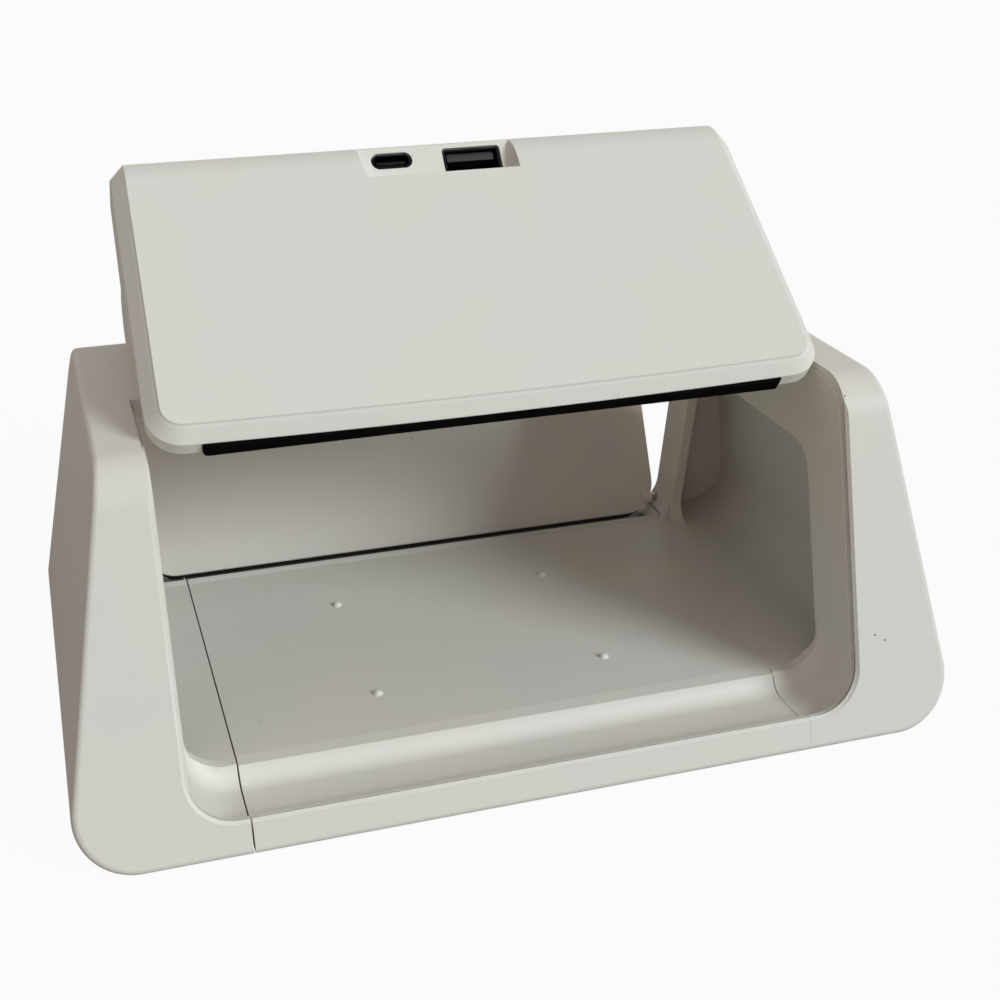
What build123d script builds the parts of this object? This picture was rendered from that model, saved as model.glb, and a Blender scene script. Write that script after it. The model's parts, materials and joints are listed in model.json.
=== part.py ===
"""Ultraviolet sanitizer box for phones: a three-sided base with a hood that tips open about its back edge.

The base is drawn about its own middle, front towards -Y, standing on Z = 0. The hood is drawn shut, and
each of its pieces is turned about the hinge to the open rest pose as it is written.
"""

from build123d import *
from math import atan, cos, hypot, pi, sin, tan
import os

os.makedirs("parts", exist_ok=True)

# --- Driving dimensions, mm ---------------------------------------------------------------------------

OPENING_HALF = 74.0        # half width between the pods' flanges
POD_WIDTH = 26.1           # width of a pod's foot beside the opening
HALF_WIDTH = OPENING_HALF + POD_WIDTH  # base half width where its leaning sides would meet Z = 0
SIDE_LEAN = 0.195          # sides lean in by this much per mm of height
HALF_DEPTH = 62.93         # base half depth where its leaning front and back would meet Z = 0
FACE_LEAN = 0.25           # front and back lean in by this much per mm of height
TOP_Z = 80.4               # shoulders of the pods and top of the shut hood
BEND_R = 10.3              # bend from front to top and from top to back
BASE_Z = 0.4               # lower edge of the housings, above the anti-slip pad
BOTTOM_CORNER_R = 12.5     # rounded lower corners of the sides
EDGE_R = 1.4               # rounding of the outer edges

FLANGE = 18.5              # depth of the flange strip round the opening
FLANGE_WALL = 2.5
BACK_FLANGE = 13.5         # the same at the back
FLANGE_TOP_DROP = 20.0     # how far the flange reaches down from the shoulders
BEAD = 1.75                # thickness of the bead round the opening's outer edge
BEAD_STEP = 0.7            # how much wider the opening is at the bead
BEAD_Z = 8.0               # crest of the bead under the hood's front edge
BEAD_EDGE = 0.6            # its front edge is cut off by this much
BEAD_GROOVE = (1.0, 1.35, 0.6)  # groove round the mouth: from this depth to this, and how deep
OPENING_CORNER_R = 10.0
POD_WALL = 2.8
SHELF_HALF = OPENING_HALF - 2.9  # the pods' tops reach in to here beside the top module
SHELF_Z = 76.4
SHELF_FRONT_Y = -5.0       # behind the arc of the front cover's side walls
POCKET_CORNER_R = 10.0
WINDOW_CORNER_R = 8.0
WINDOW_FOOT_R = 6.0
GUSSET_R = 9.0             # rounded lower corners of the flange, seen from the front

FLOOR_Z = 9.6              # floor that the phone lies on
FLOOR_BACK_Y = HALF_DEPTH - 11.93
EASE = (3.4, 0.3)          # the floor falls towards its front edge over this length by this much
LIP_R = 0.5                # rounded edge of the floor towards the front
COVE_Z = 5.3               # bottom of the cove in front of the floor
COVE_R = 4.2
HINGE_CHANNEL_Z = 6.4      # channel behind the floor that the back panel turns in
BACK_WALL_Y = HALF_DEPTH - 4.03
BACK_WALL_Z = 6.9
SEAM_X = OPENING_HALF - 11.6  # joints between the floor bridge and the pods
LEFT_SEAM_GAP = 0.35
RIGHT_SEAM_GAP = 0.04
SEAM_GROOVE = 0.25         # width and depth of the right seam where it crosses the channel
REST_BUMPS = (55.2, 46.4)  # spacing of the four phone rests, across and front to back
REST_BUMP_Y = 0.6
REST_BUMP_R = 1.25
REST_BUMP_RISE = 0.9

UNDERSIDE_Z = 6.9          # ceiling of the wiring space under the floor
UNDERSIDE_HALF = (OPENING_HALF + 10.0, HALF_DEPTH - 21.93)
PLATE_HALF = (OPENING_HALF + 10.0, HALF_DEPTH - 6.93)
PLATE_TOP_Z = 2.2
PLATE_GAP = 0.3
PAD_HALF = (PLATE_HALF[0] - 18.0, PLATE_HALF[1] - 14.0)
PAD_CORNER_R = 12.0
PAD_SINK = 0.7             # how deep the pad sits in the plate

HINGE_Y = BACK_WALL_Y - 2.4
HINGE_Z = 12.9
REST_OPENING = 38.7        # degrees that the hood stands open at rest
HINGE_PIN_R = 1.0
HINGE_PIN_X = (OPENING_HALF - 4.6, OPENING_HALF + 5.0)
HINGE_BARREL_R = 1.75
HINGE_BARREL_X = (OPENING_HALF - 5.0, OPENING_HALF - 2.4)
HINGE_BOSS_X = (OPENING_HALF + 0.5, OPENING_HALF + 6.0)
HINGE_BOSS_R = 3.1
PRESS_CLEARANCE = 0.01
RUNNING_CLEARANCE = 0.05

COVER_HALF_LOW = OPENING_HALF - 0.45  # half width of the hood's front cover at its lower end
COVER_TAPER = 0.0165       # the cover narrows by this much per mm upwards
COVER_LOW_Z = 7.8          # lower end of the front cover, on the face line
COVER_SAG = 1.1            # the lower edge bows down in the middle by this much
COVER_RIM = 6.3            # depth of the front cover's rim
COVER_SKIN = 2.2
COVER_LIP = 3.2            # height of the front cover's lower rim
COVER_CHAMFER = 3.1
COVER_CORNER_R = 7.5
COVER_BACK_Y = 38.93 - HALF_DEPTH  # joint between the front cover and the top cover
CHEEK_DEPTH = 17.0         # depth of the cover's side walls at the top, where they run along the module
CHEEK_LOW = 10.0           # they start this far up the face, as deep as the rim
CHEEK_FULL = 38.0          # and are this far up at their full depth
CHEEK_REAR = ((-33.0, 50.0), (-24.5, 57.0))  # Y and Z of their rear edge below the joint
LINER_WALL = 1.8
LINER_HALF = COVER_HALF_LOW - 5.55
HOOD_HALF = OPENING_HALF - 4.1  # half width of the top module
TOP_SKIN = 2.4
HOOD_WALL = 2.2
MODULE_Z = 62.4            # underside of the top module
MODULE_FLOOR = 2.0
PANEL_WALL = 3.1
PANEL_LOW_Z = 8.9
PANEL_CORNER_R = 9.0
PANEL_HALF = OPENING_HALF - 1.15
JOINT_GAP = 0.15

SEAL_HALF = COVER_HALF_LOW - 10.55
SEAL_HEIGHT = 2.2
SEAL_PROUD = 0.25
NOTCH_X = (-17.8, 18.5)    # port notch at the hood's front bend, at the face
NOTCH_LOW_Z = 69.0
NOTCH_WALL_IN = 2.6        # how far its side walls come in at the foot of the port plane
NOTCH_WALL_RISE = 10.0     # height over which they do so
NOTCH_REACH = 3.0          # how far its cut runs on past the face
PORT_Y = 21.73 - HALF_DEPTH  # upright plane that the two sockets open in
PORT_WALL = 1.6
USB_C_X = -9.9
USB_C_Z = 74.9
USB_C_SIZE = (8.94, 3.26, 7.4)
USB_A_X = 9.0
USB_A_Z = 73.9
USB_A_SIZE = (13.1, 5.7, 13.8)
SOCKET_GAP = 0.35
SOCKET_BACK = 0.3          # the sockets' mouths stand this far behind the port plane

BOARD_SIZE = (114.0, 34.0, 1.2)
BOARD_TOP = USB_A_Z - USB_A_SIZE[1] / 2
BOARD_Z = BOARD_TOP - BOARD_SIZE[2]
BOARD_FRONT_Y = PORT_Y + PORT_WALL + 0.4
BOARD_SCREW_Y = (BOARD_FRONT_Y + 6.2, BOARD_FRONT_Y + 29.2)
BOARD_SCREWS = [(x, y) for x in (-50.0, 50.0) for y in BOARD_SCREW_Y]
BOARD_POST_R = 2.6
BOARD_SCREW_LENGTH = 4.5
COIL_Y = 8.0
COIL_R = (10.0, 23.0)
COIL_Z = 75.3
COIL_THICK = 2.2
FERRITE_SIZE = (52.0, 52.0, 0.8)
UV_BOARD_SIZE = (82.0, 22.0, 1.2)
UV_BOARD_Z = 65.8
UV_LED_SIZE = 3.5
UV_LED_HEIGHT = 1.1
UV_LED_PITCH = 20.0
WINDOW_SIZE = (80.0, 18.0)
WINDOW_THICK = 1.2

BUTTON_AT = (48.0, COVER_BACK_Y + 7.0)
BUTTON_R = 5.0
BUTTON_GAP = 0.3
BUTTON_PROUD = 0.7
BUTTON_FLANGE_R = 6.3
BUTTON_TRAVEL = 0.8
BUTTON_FLANGE = 1.2
BUTTON_PUSHER = 0.3
SWITCH_SIZE = 6.0
SWITCH_STEM = 1.0
SWITCH_STEM_R = 1.7
LIGHT_AT = (36.0, BUTTON_AT[1])
LIGHT_R = 1.5

SCREW_R = 1.1
SCREW_HEAD_R = 2.2
SCREW_HEAD = 1.3
BOSS_R = 3.0
HOOD_SCREW_LENGTH = 8.0
BASE_SCREW_Y = PLATE_HALF[1] - 22.0
BASE_SCREW_X = PLATE_HALF[0] - 8.0
BASE_SCREWS = [(x, y) for x in (-BASE_SCREW_X, BASE_SCREW_X, 0.0) for y in (-BASE_SCREW_Y, BASE_SCREW_Y)]
HOOD_SCREW_X = HOOD_HALF - 8.9
HOOD_SCREWS = [(x, y) for x in (-HOOD_SCREW_X, HOOD_SCREW_X) for y in (-4.0, HALF_DEPTH - 32.93)]
INTERLOCK_X = COVER_HALF_LOW - 23.55  # magnet in the hood's lower edge, over the sensor in the base

REACH = 120.0              # longer than any half size of the box, for cuts that run right through

# --- Values worked out from them ----------------------------------------------------------------------

LEAN_ANGLE = atan(FACE_LEAN)
HINGE = Axis((0, HINGE_Y, HINGE_Z), (1, 0, 0))
BEND_CENTRE = (
    -HALF_DEPTH + FACE_LEAN * (TOP_Z - BEND_R) + BEND_R / cos(LEAN_ANGLE),
    TOP_Z - BEND_R,
)  # Y and Z of the front bend's axis


def face_y(z):
    """Y of the leaning front face at height z."""
    return -HALF_DEPTH + FACE_LEAN * z


def side_x(z):
    """X of the leaning right side at height z."""
    return HALF_WIDTH - SIDE_LEAN * z


def face_plane(depth=0.0):
    """Plane of the front face, seen from the front: X across, Y up the slope, depth inwards."""
    inward = (cos(LEAN_ANGLE), -sin(LEAN_ANGLE))
    low = (face_y(COVER_LOW_Z) + depth * inward[0], COVER_LOW_Z + depth * inward[1])
    return Plane(origin=(0, *low), x_dir=(1, 0, 0), z_dir=(0, -inward[0], -inward[1]))


def side_profile(inset, bottom_z):
    """Side view of the box, set in by inset all round, with its two bends."""
    top_z = TOP_Z - inset
    shift = inset / cos(LEAN_ANGLE)
    with BuildSketch() as profile:
        with BuildLine():
            Polyline(
                (face_y(bottom_z) + shift, bottom_z),
                (face_y(top_z) + shift, top_z),
                (-face_y(top_z) - shift, top_z),
                (-face_y(bottom_z) - shift, bottom_z),
                close=True,
            )
        make_face()
        fillet(profile.vertices().group_by(Axis.Y)[-1], BEND_R - inset)
    return profile.sketch


def front_profile(inset, bottom_z, corner_r):
    """Front view of the box, set in by inset at the sides and top, with rounded lower corners."""
    top_z = TOP_Z - inset
    with BuildSketch() as profile:
        with BuildLine():
            Polyline(
                (-side_x(bottom_z) + inset, bottom_z),
                (-side_x(top_z) + inset, top_z),
                (side_x(top_z) - inset, top_z),
                (side_x(bottom_z) - inset, bottom_z),
                close=True,
            )
        make_face()
        fillet(profile.vertices().group_by(Axis.Y)[0], corner_r)
    return profile.sketch


def opening_profile(half, low_z, corner_r):
    """Front view of the opening between the pods, open at the top."""
    height = REACH - low_z
    with BuildSketch() as profile:
        with Locations((0, low_z + height / 2)):
            Rectangle(2 * half, height)
        fillet(profile.vertices().group_by(Axis.Y)[0], corner_r)
    return profile.sketch


def lean_block(inset, bottom_z, corner_r):
    """Solid of the box, set in by inset, between its two views."""
    with BuildPart() as block:
        with BuildSketch(Plane.YZ):
            add(side_profile(inset, bottom_z))
        extrude(amount=REACH, both=True)
        with BuildSketch(Plane.XZ):
            add(front_profile(inset, bottom_z, corner_r))
        extrude(amount=REACH, both=True, mode=Mode.INTERSECT)
    return block


def write(piece, node, hood=False):
    """Label a finished piece and write it, a hood piece turned open about the hinge first."""
    if hood:
        piece.part = piece.part.rotate(HINGE, -REST_OPENING)
    piece.part.label = node
    export_step(piece.part, f"parts/{node}.step")


# --- Base ---------------------------------------------------------------------------------------------

outer_block = lean_block(0.0, BASE_Z, BOTTOM_CORNER_R)
pocket_block = lean_block(POD_WALL, FLOOR_Z, POCKET_CORNER_R)
bead_core = lean_block(BEAD, BASE_Z, BOTTOM_CORNER_R)

def channel_cut():
    """Front channel: from the bead inwards to the lip of the floor, with the cove at its bottom."""
    with BuildPart() as channel:
        with BuildSketch(Plane.XZ):
            add(opening_profile(OPENING_HALF, COVE_Z, OPENING_CORNER_R))
        extrude(amount=REACH)
        with BuildSketch(Plane.YZ):
            with BuildLine():
                Polyline(
                    (face_y(0) + BEAD, 0),
                    (face_y(REACH) + BEAD, REACH),
                    (face_y(REACH) + FLANGE, REACH),
                    (face_y(0) + FLANGE, 0),
                    close=True,
                )
            make_face()
        extrude(amount=REACH, both=True, mode=Mode.INTERSECT)
        end = channel.faces().filter_by(lambda f: abs(f.normal_at().Y) > 0.9).sort_by(Axis.Y)[-1]
        fillet(end.edges().filter_by(lambda e: e.center().Z < REACH - 1), COVE_R)
    return channel


def bead_cut():
    """Wider mouth of the opening, a thin band that follows front, top and back."""
    with BuildPart() as mouth:
        with BuildSketch(Plane.XZ):
            add(opening_profile(OPENING_HALF + BEAD_STEP, BEAD_Z, OPENING_CORNER_R))
        extrude(amount=REACH, both=True)
        add(bead_core.part, mode=Mode.SUBTRACT)
    return mouth


def bead_edge_cut():
    """Slope cut off the front edge of the mouth, and the groove behind it."""
    with BuildPart() as edge:
        with BuildSketch(face_plane(-0.1)):
            grown = BEAD_EDGE + 0.1
            low = (BEAD_Z - COVER_LOW_Z) / cos(LEAN_ANGLE) - grown
            add(opening_profile(OPENING_HALF + BEAD_STEP + grown, low, OPENING_CORNER_R + grown))
        extrude(amount=-grown, taper=45)
    with BuildPart() as groove:
        with BuildSketch(Plane.XZ):
            half = OPENING_HALF + BEAD_STEP + BEAD_GROOVE[2]
            add(opening_profile(half, BEAD_Z - BEAD_GROOVE[2], OPENING_CORNER_R + BEAD_GROOVE[2]))
        extrude(amount=REACH)
        with BuildSketch(Plane.YZ):
            with BuildLine():
                Polyline(
                    (face_y(0) + BEAD_GROOVE[0], 0),
                    (face_y(REACH) + BEAD_GROOVE[0], REACH),
                    (face_y(REACH) + BEAD_GROOVE[1], REACH),
                    (face_y(0) + BEAD_GROOVE[1], 0),
                    close=True,
                )
            make_face()
        extrude(amount=REACH, both=True, mode=Mode.INTERSECT)
    return edge.part + groove.part


def back_cut():
    """Back of the opening, with the channel that the hood's lower edge turns in."""
    with BuildPart() as back:
        with BuildSketch(Plane.YZ):
            with BuildLine():
                Polyline(
                    (FLOOR_BACK_Y - 12, FLOOR_Z),
                    (FLOOR_BACK_Y, FLOOR_Z),
                    (FLOOR_BACK_Y, HINGE_CHANNEL_Z),
                    (BACK_WALL_Y, HINGE_CHANNEL_Z),
                    (BACK_WALL_Y, BACK_WALL_Z),
                    (REACH, BACK_WALL_Z),
                    (REACH, REACH),
                    (FLOOR_BACK_Y - 12, REACH),
                    close=True,
                )
            make_face()
        extrude(amount=OPENING_HALF, both=True)
        with BuildSketch(Plane.XZ):
            add(opening_profile(OPENING_HALF, HINGE_CHANNEL_Z, OPENING_CORNER_R))
        extrude(amount=REACH, both=True, mode=Mode.INTERSECT)
    return back


def window_cut():
    """Chamber over the floor, through both flange plates into the pods."""
    flange_low = TOP_Z - FLANGE_TOP_DROP
    with BuildPart() as window:
        with BuildSketch(Plane.YZ) as view:
            with BuildLine():
                Polyline(
                    (face_y(FLOOR_Z) + FLANGE, FLOOR_Z),
                    (face_y(flange_low) + FLANGE, flange_low),
                    (-face_y(flange_low) - BACK_FLANGE, flange_low),
                    (-face_y(FLOOR_Z) - BACK_FLANGE, FLOOR_Z),
                    close=True,
                )
            make_face()
            fillet(view.vertices().group_by(Axis.Y)[-1], WINDOW_CORNER_R)
            fillet(view.vertices().group_by(Axis.Y)[0], WINDOW_FOOT_R)
        extrude(amount=OPENING_HALF + FLANGE_WALL + JOINT_GAP, both=True)
        front = face_y(FLOOR_Z) + FLANGE
        back = -face_y(FLOOR_Z) - BACK_FLANGE
        with BuildSketch(Plane.YZ):
            with Locations(((front + FLANGE_WALL + back) / 2, (FLOOR_Z + REACH) / 2)):
                Rectangle(back - front - FLANGE_WALL, REACH - FLOOR_Z)
        extrude(amount=OPENING_HALF, both=True)
        with BuildSketch(Plane.XZ.offset(-front - FLANGE_WALL)):
            add(opening_profile(OPENING_HALF, FLOOR_Z, GUSSET_R))
        extrude(amount=FLANGE_WALL)
    return window


def pocket_cut():
    """Hollow of both pods behind their flange plates."""
    inner_x = OPENING_HALF + FLANGE_WALL
    with BuildPart() as pocket:
        add(pocket_block.part)
        with BuildSketch(Plane.XY):
            Rectangle(2 * inner_x, 2 * REACH)
        extrude(amount=REACH, mode=Mode.SUBTRACT)
    return pocket


def lip_cut():
    """Sliver between the sharp front edge of the floor and its rounding."""
    corner = (face_y(FLOOR_Z) + FLANGE, FLOOR_Z)
    reach = LIP_R / tan(pi / 4 + LEAN_ANGLE / 2)
    low = (corner[0] - reach * sin(LEAN_ANGLE), corner[1] - reach * cos(LEAN_ANGLE))
    back = (corner[0] + reach, corner[1])
    with BuildPart() as sliver:
        with BuildSketch(Plane.YZ):
            with BuildLine():
                Polyline(low, corner, back)
                RadiusArc(low, back, LIP_R)
            make_face()
        extrude(amount=OPENING_HALF, both=True)
    return sliver


def underside_cut():
    """Wiring space under the floor and the recess for the base plate."""
    with BuildPart() as underside:
        with BuildSketch(Plane.XY):
            Rectangle(2 * UNDERSIDE_HALF[0], 2 * UNDERSIDE_HALF[1])
        extrude(amount=UNDERSIDE_Z)
        with BuildSketch(Plane.XY):
            Rectangle(2 * PLATE_HALF[0], 2 * PLATE_HALF[1])
        extrude(amount=PLATE_TOP_Z)
        with BuildSketch(Plane.XY.offset(PLATE_TOP_Z)):
            with Locations(*BASE_SCREWS):
                Circle(BOSS_R)
        extrude(amount=UNDERSIDE_Z - PLATE_TOP_Z, mode=Mode.SUBTRACT)
    return underside


# Pods and floor bridge as one housing, which is parted at its two seams below.
def shelves():
    """Strips that widen the pods' tops inwards beside the top module, from behind the cover's arc."""
    with BuildPart() as strips:
        with BuildSketch(Plane.YZ):
            add(side_profile(0, BASE_Z))
            with Locations((SHELF_FRONT_Y + REACH / 2, (SHELF_Z + REACH) / 2)):
                Rectangle(REACH, REACH - SHELF_Z, mode=Mode.INTERSECT)
        extrude(amount=OPENING_HALF + 2, both=True)
        with BuildSketch(Plane.XY.offset(SHELF_Z)):
            Rectangle(2 * SHELF_HALF, 2 * REACH)
        extrude(amount=REACH, mode=Mode.SUBTRACT)
    return strips


with BuildPart() as housing:
    add(outer_block.part)
    across = housing.edges().filter_by(Axis.X).filter_by(lambda e: e.center().Z > BASE_Z + 1)
    along = housing.edges().filter_by(Axis.Y).filter_by(lambda e: e.center().Z < TOP_Z - 1)
    fillet(housing.edges() - across - along, EDGE_R)
    add(pocket_cut().part, mode=Mode.SUBTRACT)
    add(channel_cut().part, mode=Mode.SUBTRACT)
    add(bead_cut().part, mode=Mode.SUBTRACT)
    add(bead_edge_cut(), mode=Mode.SUBTRACT)
    add(back_cut().part, mode=Mode.SUBTRACT)
    add(window_cut().part, mode=Mode.SUBTRACT)
    add(underside_cut().part, mode=Mode.SUBTRACT)
    add(lip_cut().part, mode=Mode.SUBTRACT)
    # Bosses that hold the hinge pins, on the flange plates.
    for side in (-1, 1):
        with BuildSketch(Plane.YZ.offset(side * HINGE_BOSS_X[0])):
            with Locations((HINGE_Y, HINGE_Z)):
                Circle(HINGE_BOSS_R)
        extrude(amount=side * (HINGE_BOSS_X[1] - HINGE_BOSS_X[0]))
        with BuildSketch(Plane.YZ.offset(side * (OPENING_HALF - 2))):
            with Locations((HINGE_Y, HINGE_Z)):
                Circle(HINGE_PIN_R + PRESS_CLEARANCE)
        extrude(amount=side * (HINGE_PIN_X[1] - OPENING_HALF + 2), mode=Mode.SUBTRACT)
    # Strips along the inner edges of the pods' tops.
    add(shelves().part)
    # Pilot holes for the base plate's screws.
    with BuildSketch(Plane.XY.offset(PLATE_TOP_Z)):
        with Locations(*BASE_SCREWS):
            Circle(SCREW_R + PRESS_CLEARANCE)
    extrude(amount=UNDERSIDE_Z - PLATE_TOP_Z + 1, mode=Mode.SUBTRACT)

with BuildPart() as left_side_pod:
    add(housing.part)
    split(bisect_by=Plane.YZ.offset(-SEAM_X - LEFT_SEAM_GAP), keep=Keep.BOTTOM)
write(left_side_pod, "left_side_pod")

with BuildPart() as right_side_pod:
    add(housing.part)
    split(bisect_by=Plane.YZ.offset(SEAM_X + RIGHT_SEAM_GAP), keep=Keep.TOP)
    # The seam opens up where it crosses the channel.
    with BuildSketch(Plane.YZ.offset(SEAM_X)):
        with BuildLine():
            Polyline(
                (face_y(COVE_Z) + BEAD, COVE_Z - SEAM_GROOVE),
                (face_y(COVE_Z) + BEAD, FLOOR_Z - 0.8),
                (face_y(FLOOR_Z) + FLANGE + SEAM_GROOVE, FLOOR_Z - 0.8),
                (face_y(COVE_Z) + FLANGE + SEAM_GROOVE, COVE_Z - SEAM_GROOVE),
                close=True,
            )
        make_face()
    extrude(amount=SEAM_GROOVE, mode=Mode.SUBTRACT)
write(right_side_pod, "right_side_pod")

with BuildPart() as floor_bridge:
    add(housing.part)
    split(bisect_by=Plane.YZ.offset(-SEAM_X), keep=Keep.TOP)
    split(bisect_by=Plane.YZ.offset(SEAM_X), keep=Keep.BOTTOM)
    # Phone rests: low round caps on the floor.
    with Locations((0, REST_BUMP_Y, FLOOR_Z + REST_BUMP_RISE - REST_BUMP_R)):
        with GridLocations(REST_BUMPS[0], REST_BUMPS[1], 2, 2):
            Sphere(REST_BUMP_R)
    with BuildSketch(Plane.YZ):
        with BuildLine():
            edge_y = face_y(FLOOR_Z) + FLANGE
            Polyline(
                (edge_y + EASE[0], FLOOR_Z),
                (edge_y - FACE_LEAN * EASE[1] - 1.0, FLOOR_Z - EASE[1] * (1 + 1.0 / EASE[0])),
                (edge_y - 1.0, FLOOR_Z + 0.5),
                (edge_y + EASE[0], FLOOR_Z + 0.5),
                close=True,
            )
        make_face()
    extrude(amount=SEAM_X, both=True, mode=Mode.SUBTRACT)
write(floor_bridge, "floor_bridge")

plate_half = (PLATE_HALF[0] - PLATE_GAP, PLATE_HALF[1] - PLATE_GAP)
with BuildPart() as base_plate:
    with BuildSketch(Plane.XY.offset(BASE_Z)):
        RectangleRounded(2 * plate_half[0], 2 * plate_half[1], 2)
    extrude(amount=PLATE_TOP_Z - BASE_Z)
    with BuildSketch(Plane.XY.offset(BASE_Z)):
        RectangleRounded(2 * PAD_HALF[0] + PLATE_GAP, 2 * PAD_HALF[1] + PLATE_GAP, PAD_CORNER_R)
    extrude(amount=PAD_SINK, mode=Mode.SUBTRACT)
    with BuildSketch(Plane.XY.offset(BASE_Z)):
        with Locations(*BASE_SCREWS):
            Circle(SCREW_R + 0.2)
    extrude(amount=PLATE_TOP_Z - BASE_Z, mode=Mode.SUBTRACT)
    with BuildSketch(Plane.XY.offset(BASE_Z)):
        with Locations(*BASE_SCREWS):
            Circle(SCREW_HEAD_R + 0.2)
    extrude(amount=SCREW_HEAD + 0.05, mode=Mode.SUBTRACT)
write(base_plate, "base_plate")

with BuildPart() as anti_slip_pad:
    with BuildSketch(Plane.XY):
        RectangleRounded(2 * PAD_HALF[0], 2 * PAD_HALF[1], PAD_CORNER_R)
        for x, y in BASE_SCREWS:
            if abs(x) < PAD_HALF[0]:
                with Locations((x, y)):
                    Circle(SCREW_HEAD_R + 0.4, mode=Mode.SUBTRACT)
    extrude(amount=BASE_Z + PAD_SINK)
    chamfer(anti_slip_pad.faces().sort_by(Axis.Z)[0].outer_wire().edges(), 0.4)
write(anti_slip_pad, "anti_slip_pad")


def screw(x, y, head_z, length, up):
    """Pan-head screw at (x, y); its head starts at head_z and its shank runs up (1) or down (-1)."""
    with BuildPart() as fastener:
        with BuildSketch(Plane.XY.offset(head_z)):
            with Locations((x, y)):
                Circle(SCREW_HEAD_R)
        extrude(amount=up * SCREW_HEAD)
        with BuildSketch(Plane.XY.offset(head_z)):
            with Locations((x, y)):
                Circle(SCREW_R)
        extrude(amount=up * length)
        # Cross recess in the head.
        with BuildSketch(Plane.XY.offset(head_z)):
            with Locations((x, y)):
                Rectangle(2.4, 0.5)
                Rectangle(0.5, 2.4)
        extrude(amount=up * 0.8, mode=Mode.SUBTRACT)
    return fastener


for number, (x, y) in enumerate(BASE_SCREWS, start=1):
    write(screw(x, y, BASE_Z, UNDERSIDE_Z - BASE_Z, 1), f"base_screw_{number}")

for name, side in (("left", -1), ("right", 1)):
    with BuildPart() as hinge_pin:
        with BuildSketch(Plane.YZ.offset(side * HINGE_PIN_X[0])):
            with Locations((HINGE_Y, HINGE_Z)):
                Circle(HINGE_PIN_R)
        extrude(amount=side * (HINGE_PIN_X[1] - HINGE_PIN_X[0] - 0.2))
        chamfer(hinge_pin.edges(), 0.2)
    write(hinge_pin, f"hinge_pin_{name}")

with BuildPart() as interlock_sensor:
    with BuildSketch(Plane.XY.offset(PLATE_TOP_Z + 0.1)):
        with Locations((INTERLOCK_X, -UNDERSIDE_HALF[1] + 3)):
            Rectangle(12, 4.4)
    extrude(amount=UNDERSIDE_Z - PLATE_TOP_Z - 0.2)
    fillet(interlock_sensor.edges().filter_by(Axis.Z), 0.8)
write(interlock_sensor, "interlock_sensor")

# --- Hood, drawn shut ---------------------------------------------------------------------------------


def cover_outline(depth):
    """Prism of the front cover's outline, square to the front face, running inwards by depth."""
    top = REACH
    with BuildPart() as prism:
        with BuildSketch(face_plane()) as outline:
            with BuildLine():
                ThreePointArc((-COVER_HALF_LOW, COVER_SAG), (0, 0), (COVER_HALF_LOW, COVER_SAG))
                Polyline(
                    (COVER_HALF_LOW, COVER_SAG),
                    (COVER_HALF_LOW - COVER_TAPER * top, top),
                    (-COVER_HALF_LOW + COVER_TAPER * top, top),
                    (-COVER_HALF_LOW, COVER_SAG),
                )
            make_face()
            fillet(outline.vertices().group_by(Axis.Y)[0], COVER_CORNER_R)
        extrude(amount=-depth, both=True)
    return prism


def cover_band(outer_inset, inner_inset, low_z):
    """Band between two side profiles, from height low_z over the front bend to the cover's joint."""
    with BuildPart() as band:
        with BuildSketch(Plane.YZ):
            add(side_profile(outer_inset, 0))
            add(side_profile(inner_inset, 0), mode=Mode.SUBTRACT)
            with Locations((COVER_BACK_Y - REACH / 2, low_z + REACH / 2)):
                Rectangle(REACH, REACH, mode=Mode.INTERSECT)
        extrude(amount=REACH, both=True)
    return band


def outside_gap(point):
    """How far a point lies under the hood's outer skin at the front."""
    if point.Y > BEND_CENTRE[0]:
        return TOP_Z - point.Z
    if point.Z > BEND_CENTRE[1] + BEND_R * sin(LEAN_ANGLE):
        return BEND_R - hypot(point.Y - BEND_CENTRE[0], point.Z - BEND_CENTRE[1])
    return (point.Y - face_y(point.Z)) * cos(LEAN_ANGLE)


def inner_prism(half, low, corner_r, depth):
    """Prism square to the front face, half wide each way, from low up the slope, with rounded corners."""
    with BuildPart() as prism:
        with BuildSketch(face_plane()) as outline:
            with Locations((0, low + REACH / 2)):
                Rectangle(2 * half, REACH)
            fillet(outline.vertices().group_by(Axis.Y)[0], corner_r)
        extrude(amount=-depth)
    return prism


def side_slab(half, sketch):
    """Slab of a side view, half wide each way."""
    with BuildPart() as slab:
        with BuildSketch(Plane.YZ):
            add(sketch)
        extrude(amount=half, both=True)
    return slab


port_width = NOTCH_X[1] - NOTCH_X[0]
port_depth = PORT_Y - face_y(NOTCH_LOW_Z)

# Hollow behind the front cover's skin, inside its rim.
with BuildPart() as cover_hollow:
    add(cover_band(COVER_SKIN, COVER_RIM + 1, 0).part)
    add(inner_prism(LINER_HALF, COVER_LIP, 6.0, 30).part, mode=Mode.INTERSECT)
    # Block left standing behind the port notch.
    with BuildSketch(Plane.YZ.offset(NOTCH_X[0] - PORT_WALL)):
        with Locations((PORT_Y + PORT_WALL - REACH / 2, NOTCH_LOW_Z - PORT_WALL + REACH / 2)):
            Rectangle(REACH, REACH)
    extrude(amount=port_width + 2 * PORT_WALL, mode=Mode.SUBTRACT)

def notch_wall(x, inwards):
    """Plane of a side wall of the port notch: slanted inwards at its foot and facing the notch's middle."""
    front = Vector(x, face_y(NOTCH_LOW_Z), NOTCH_LOW_Z)
    foot = Vector(x + inwards * NOTCH_WALL_IN, PORT_Y, NOTCH_LOW_Z)
    top = Vector(x, PORT_Y, NOTCH_LOW_Z + NOTCH_WALL_RISE)
    normal = (foot - front).cross(top - front) * inwards
    return Plane(origin=front, z_dir=normal)


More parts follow.
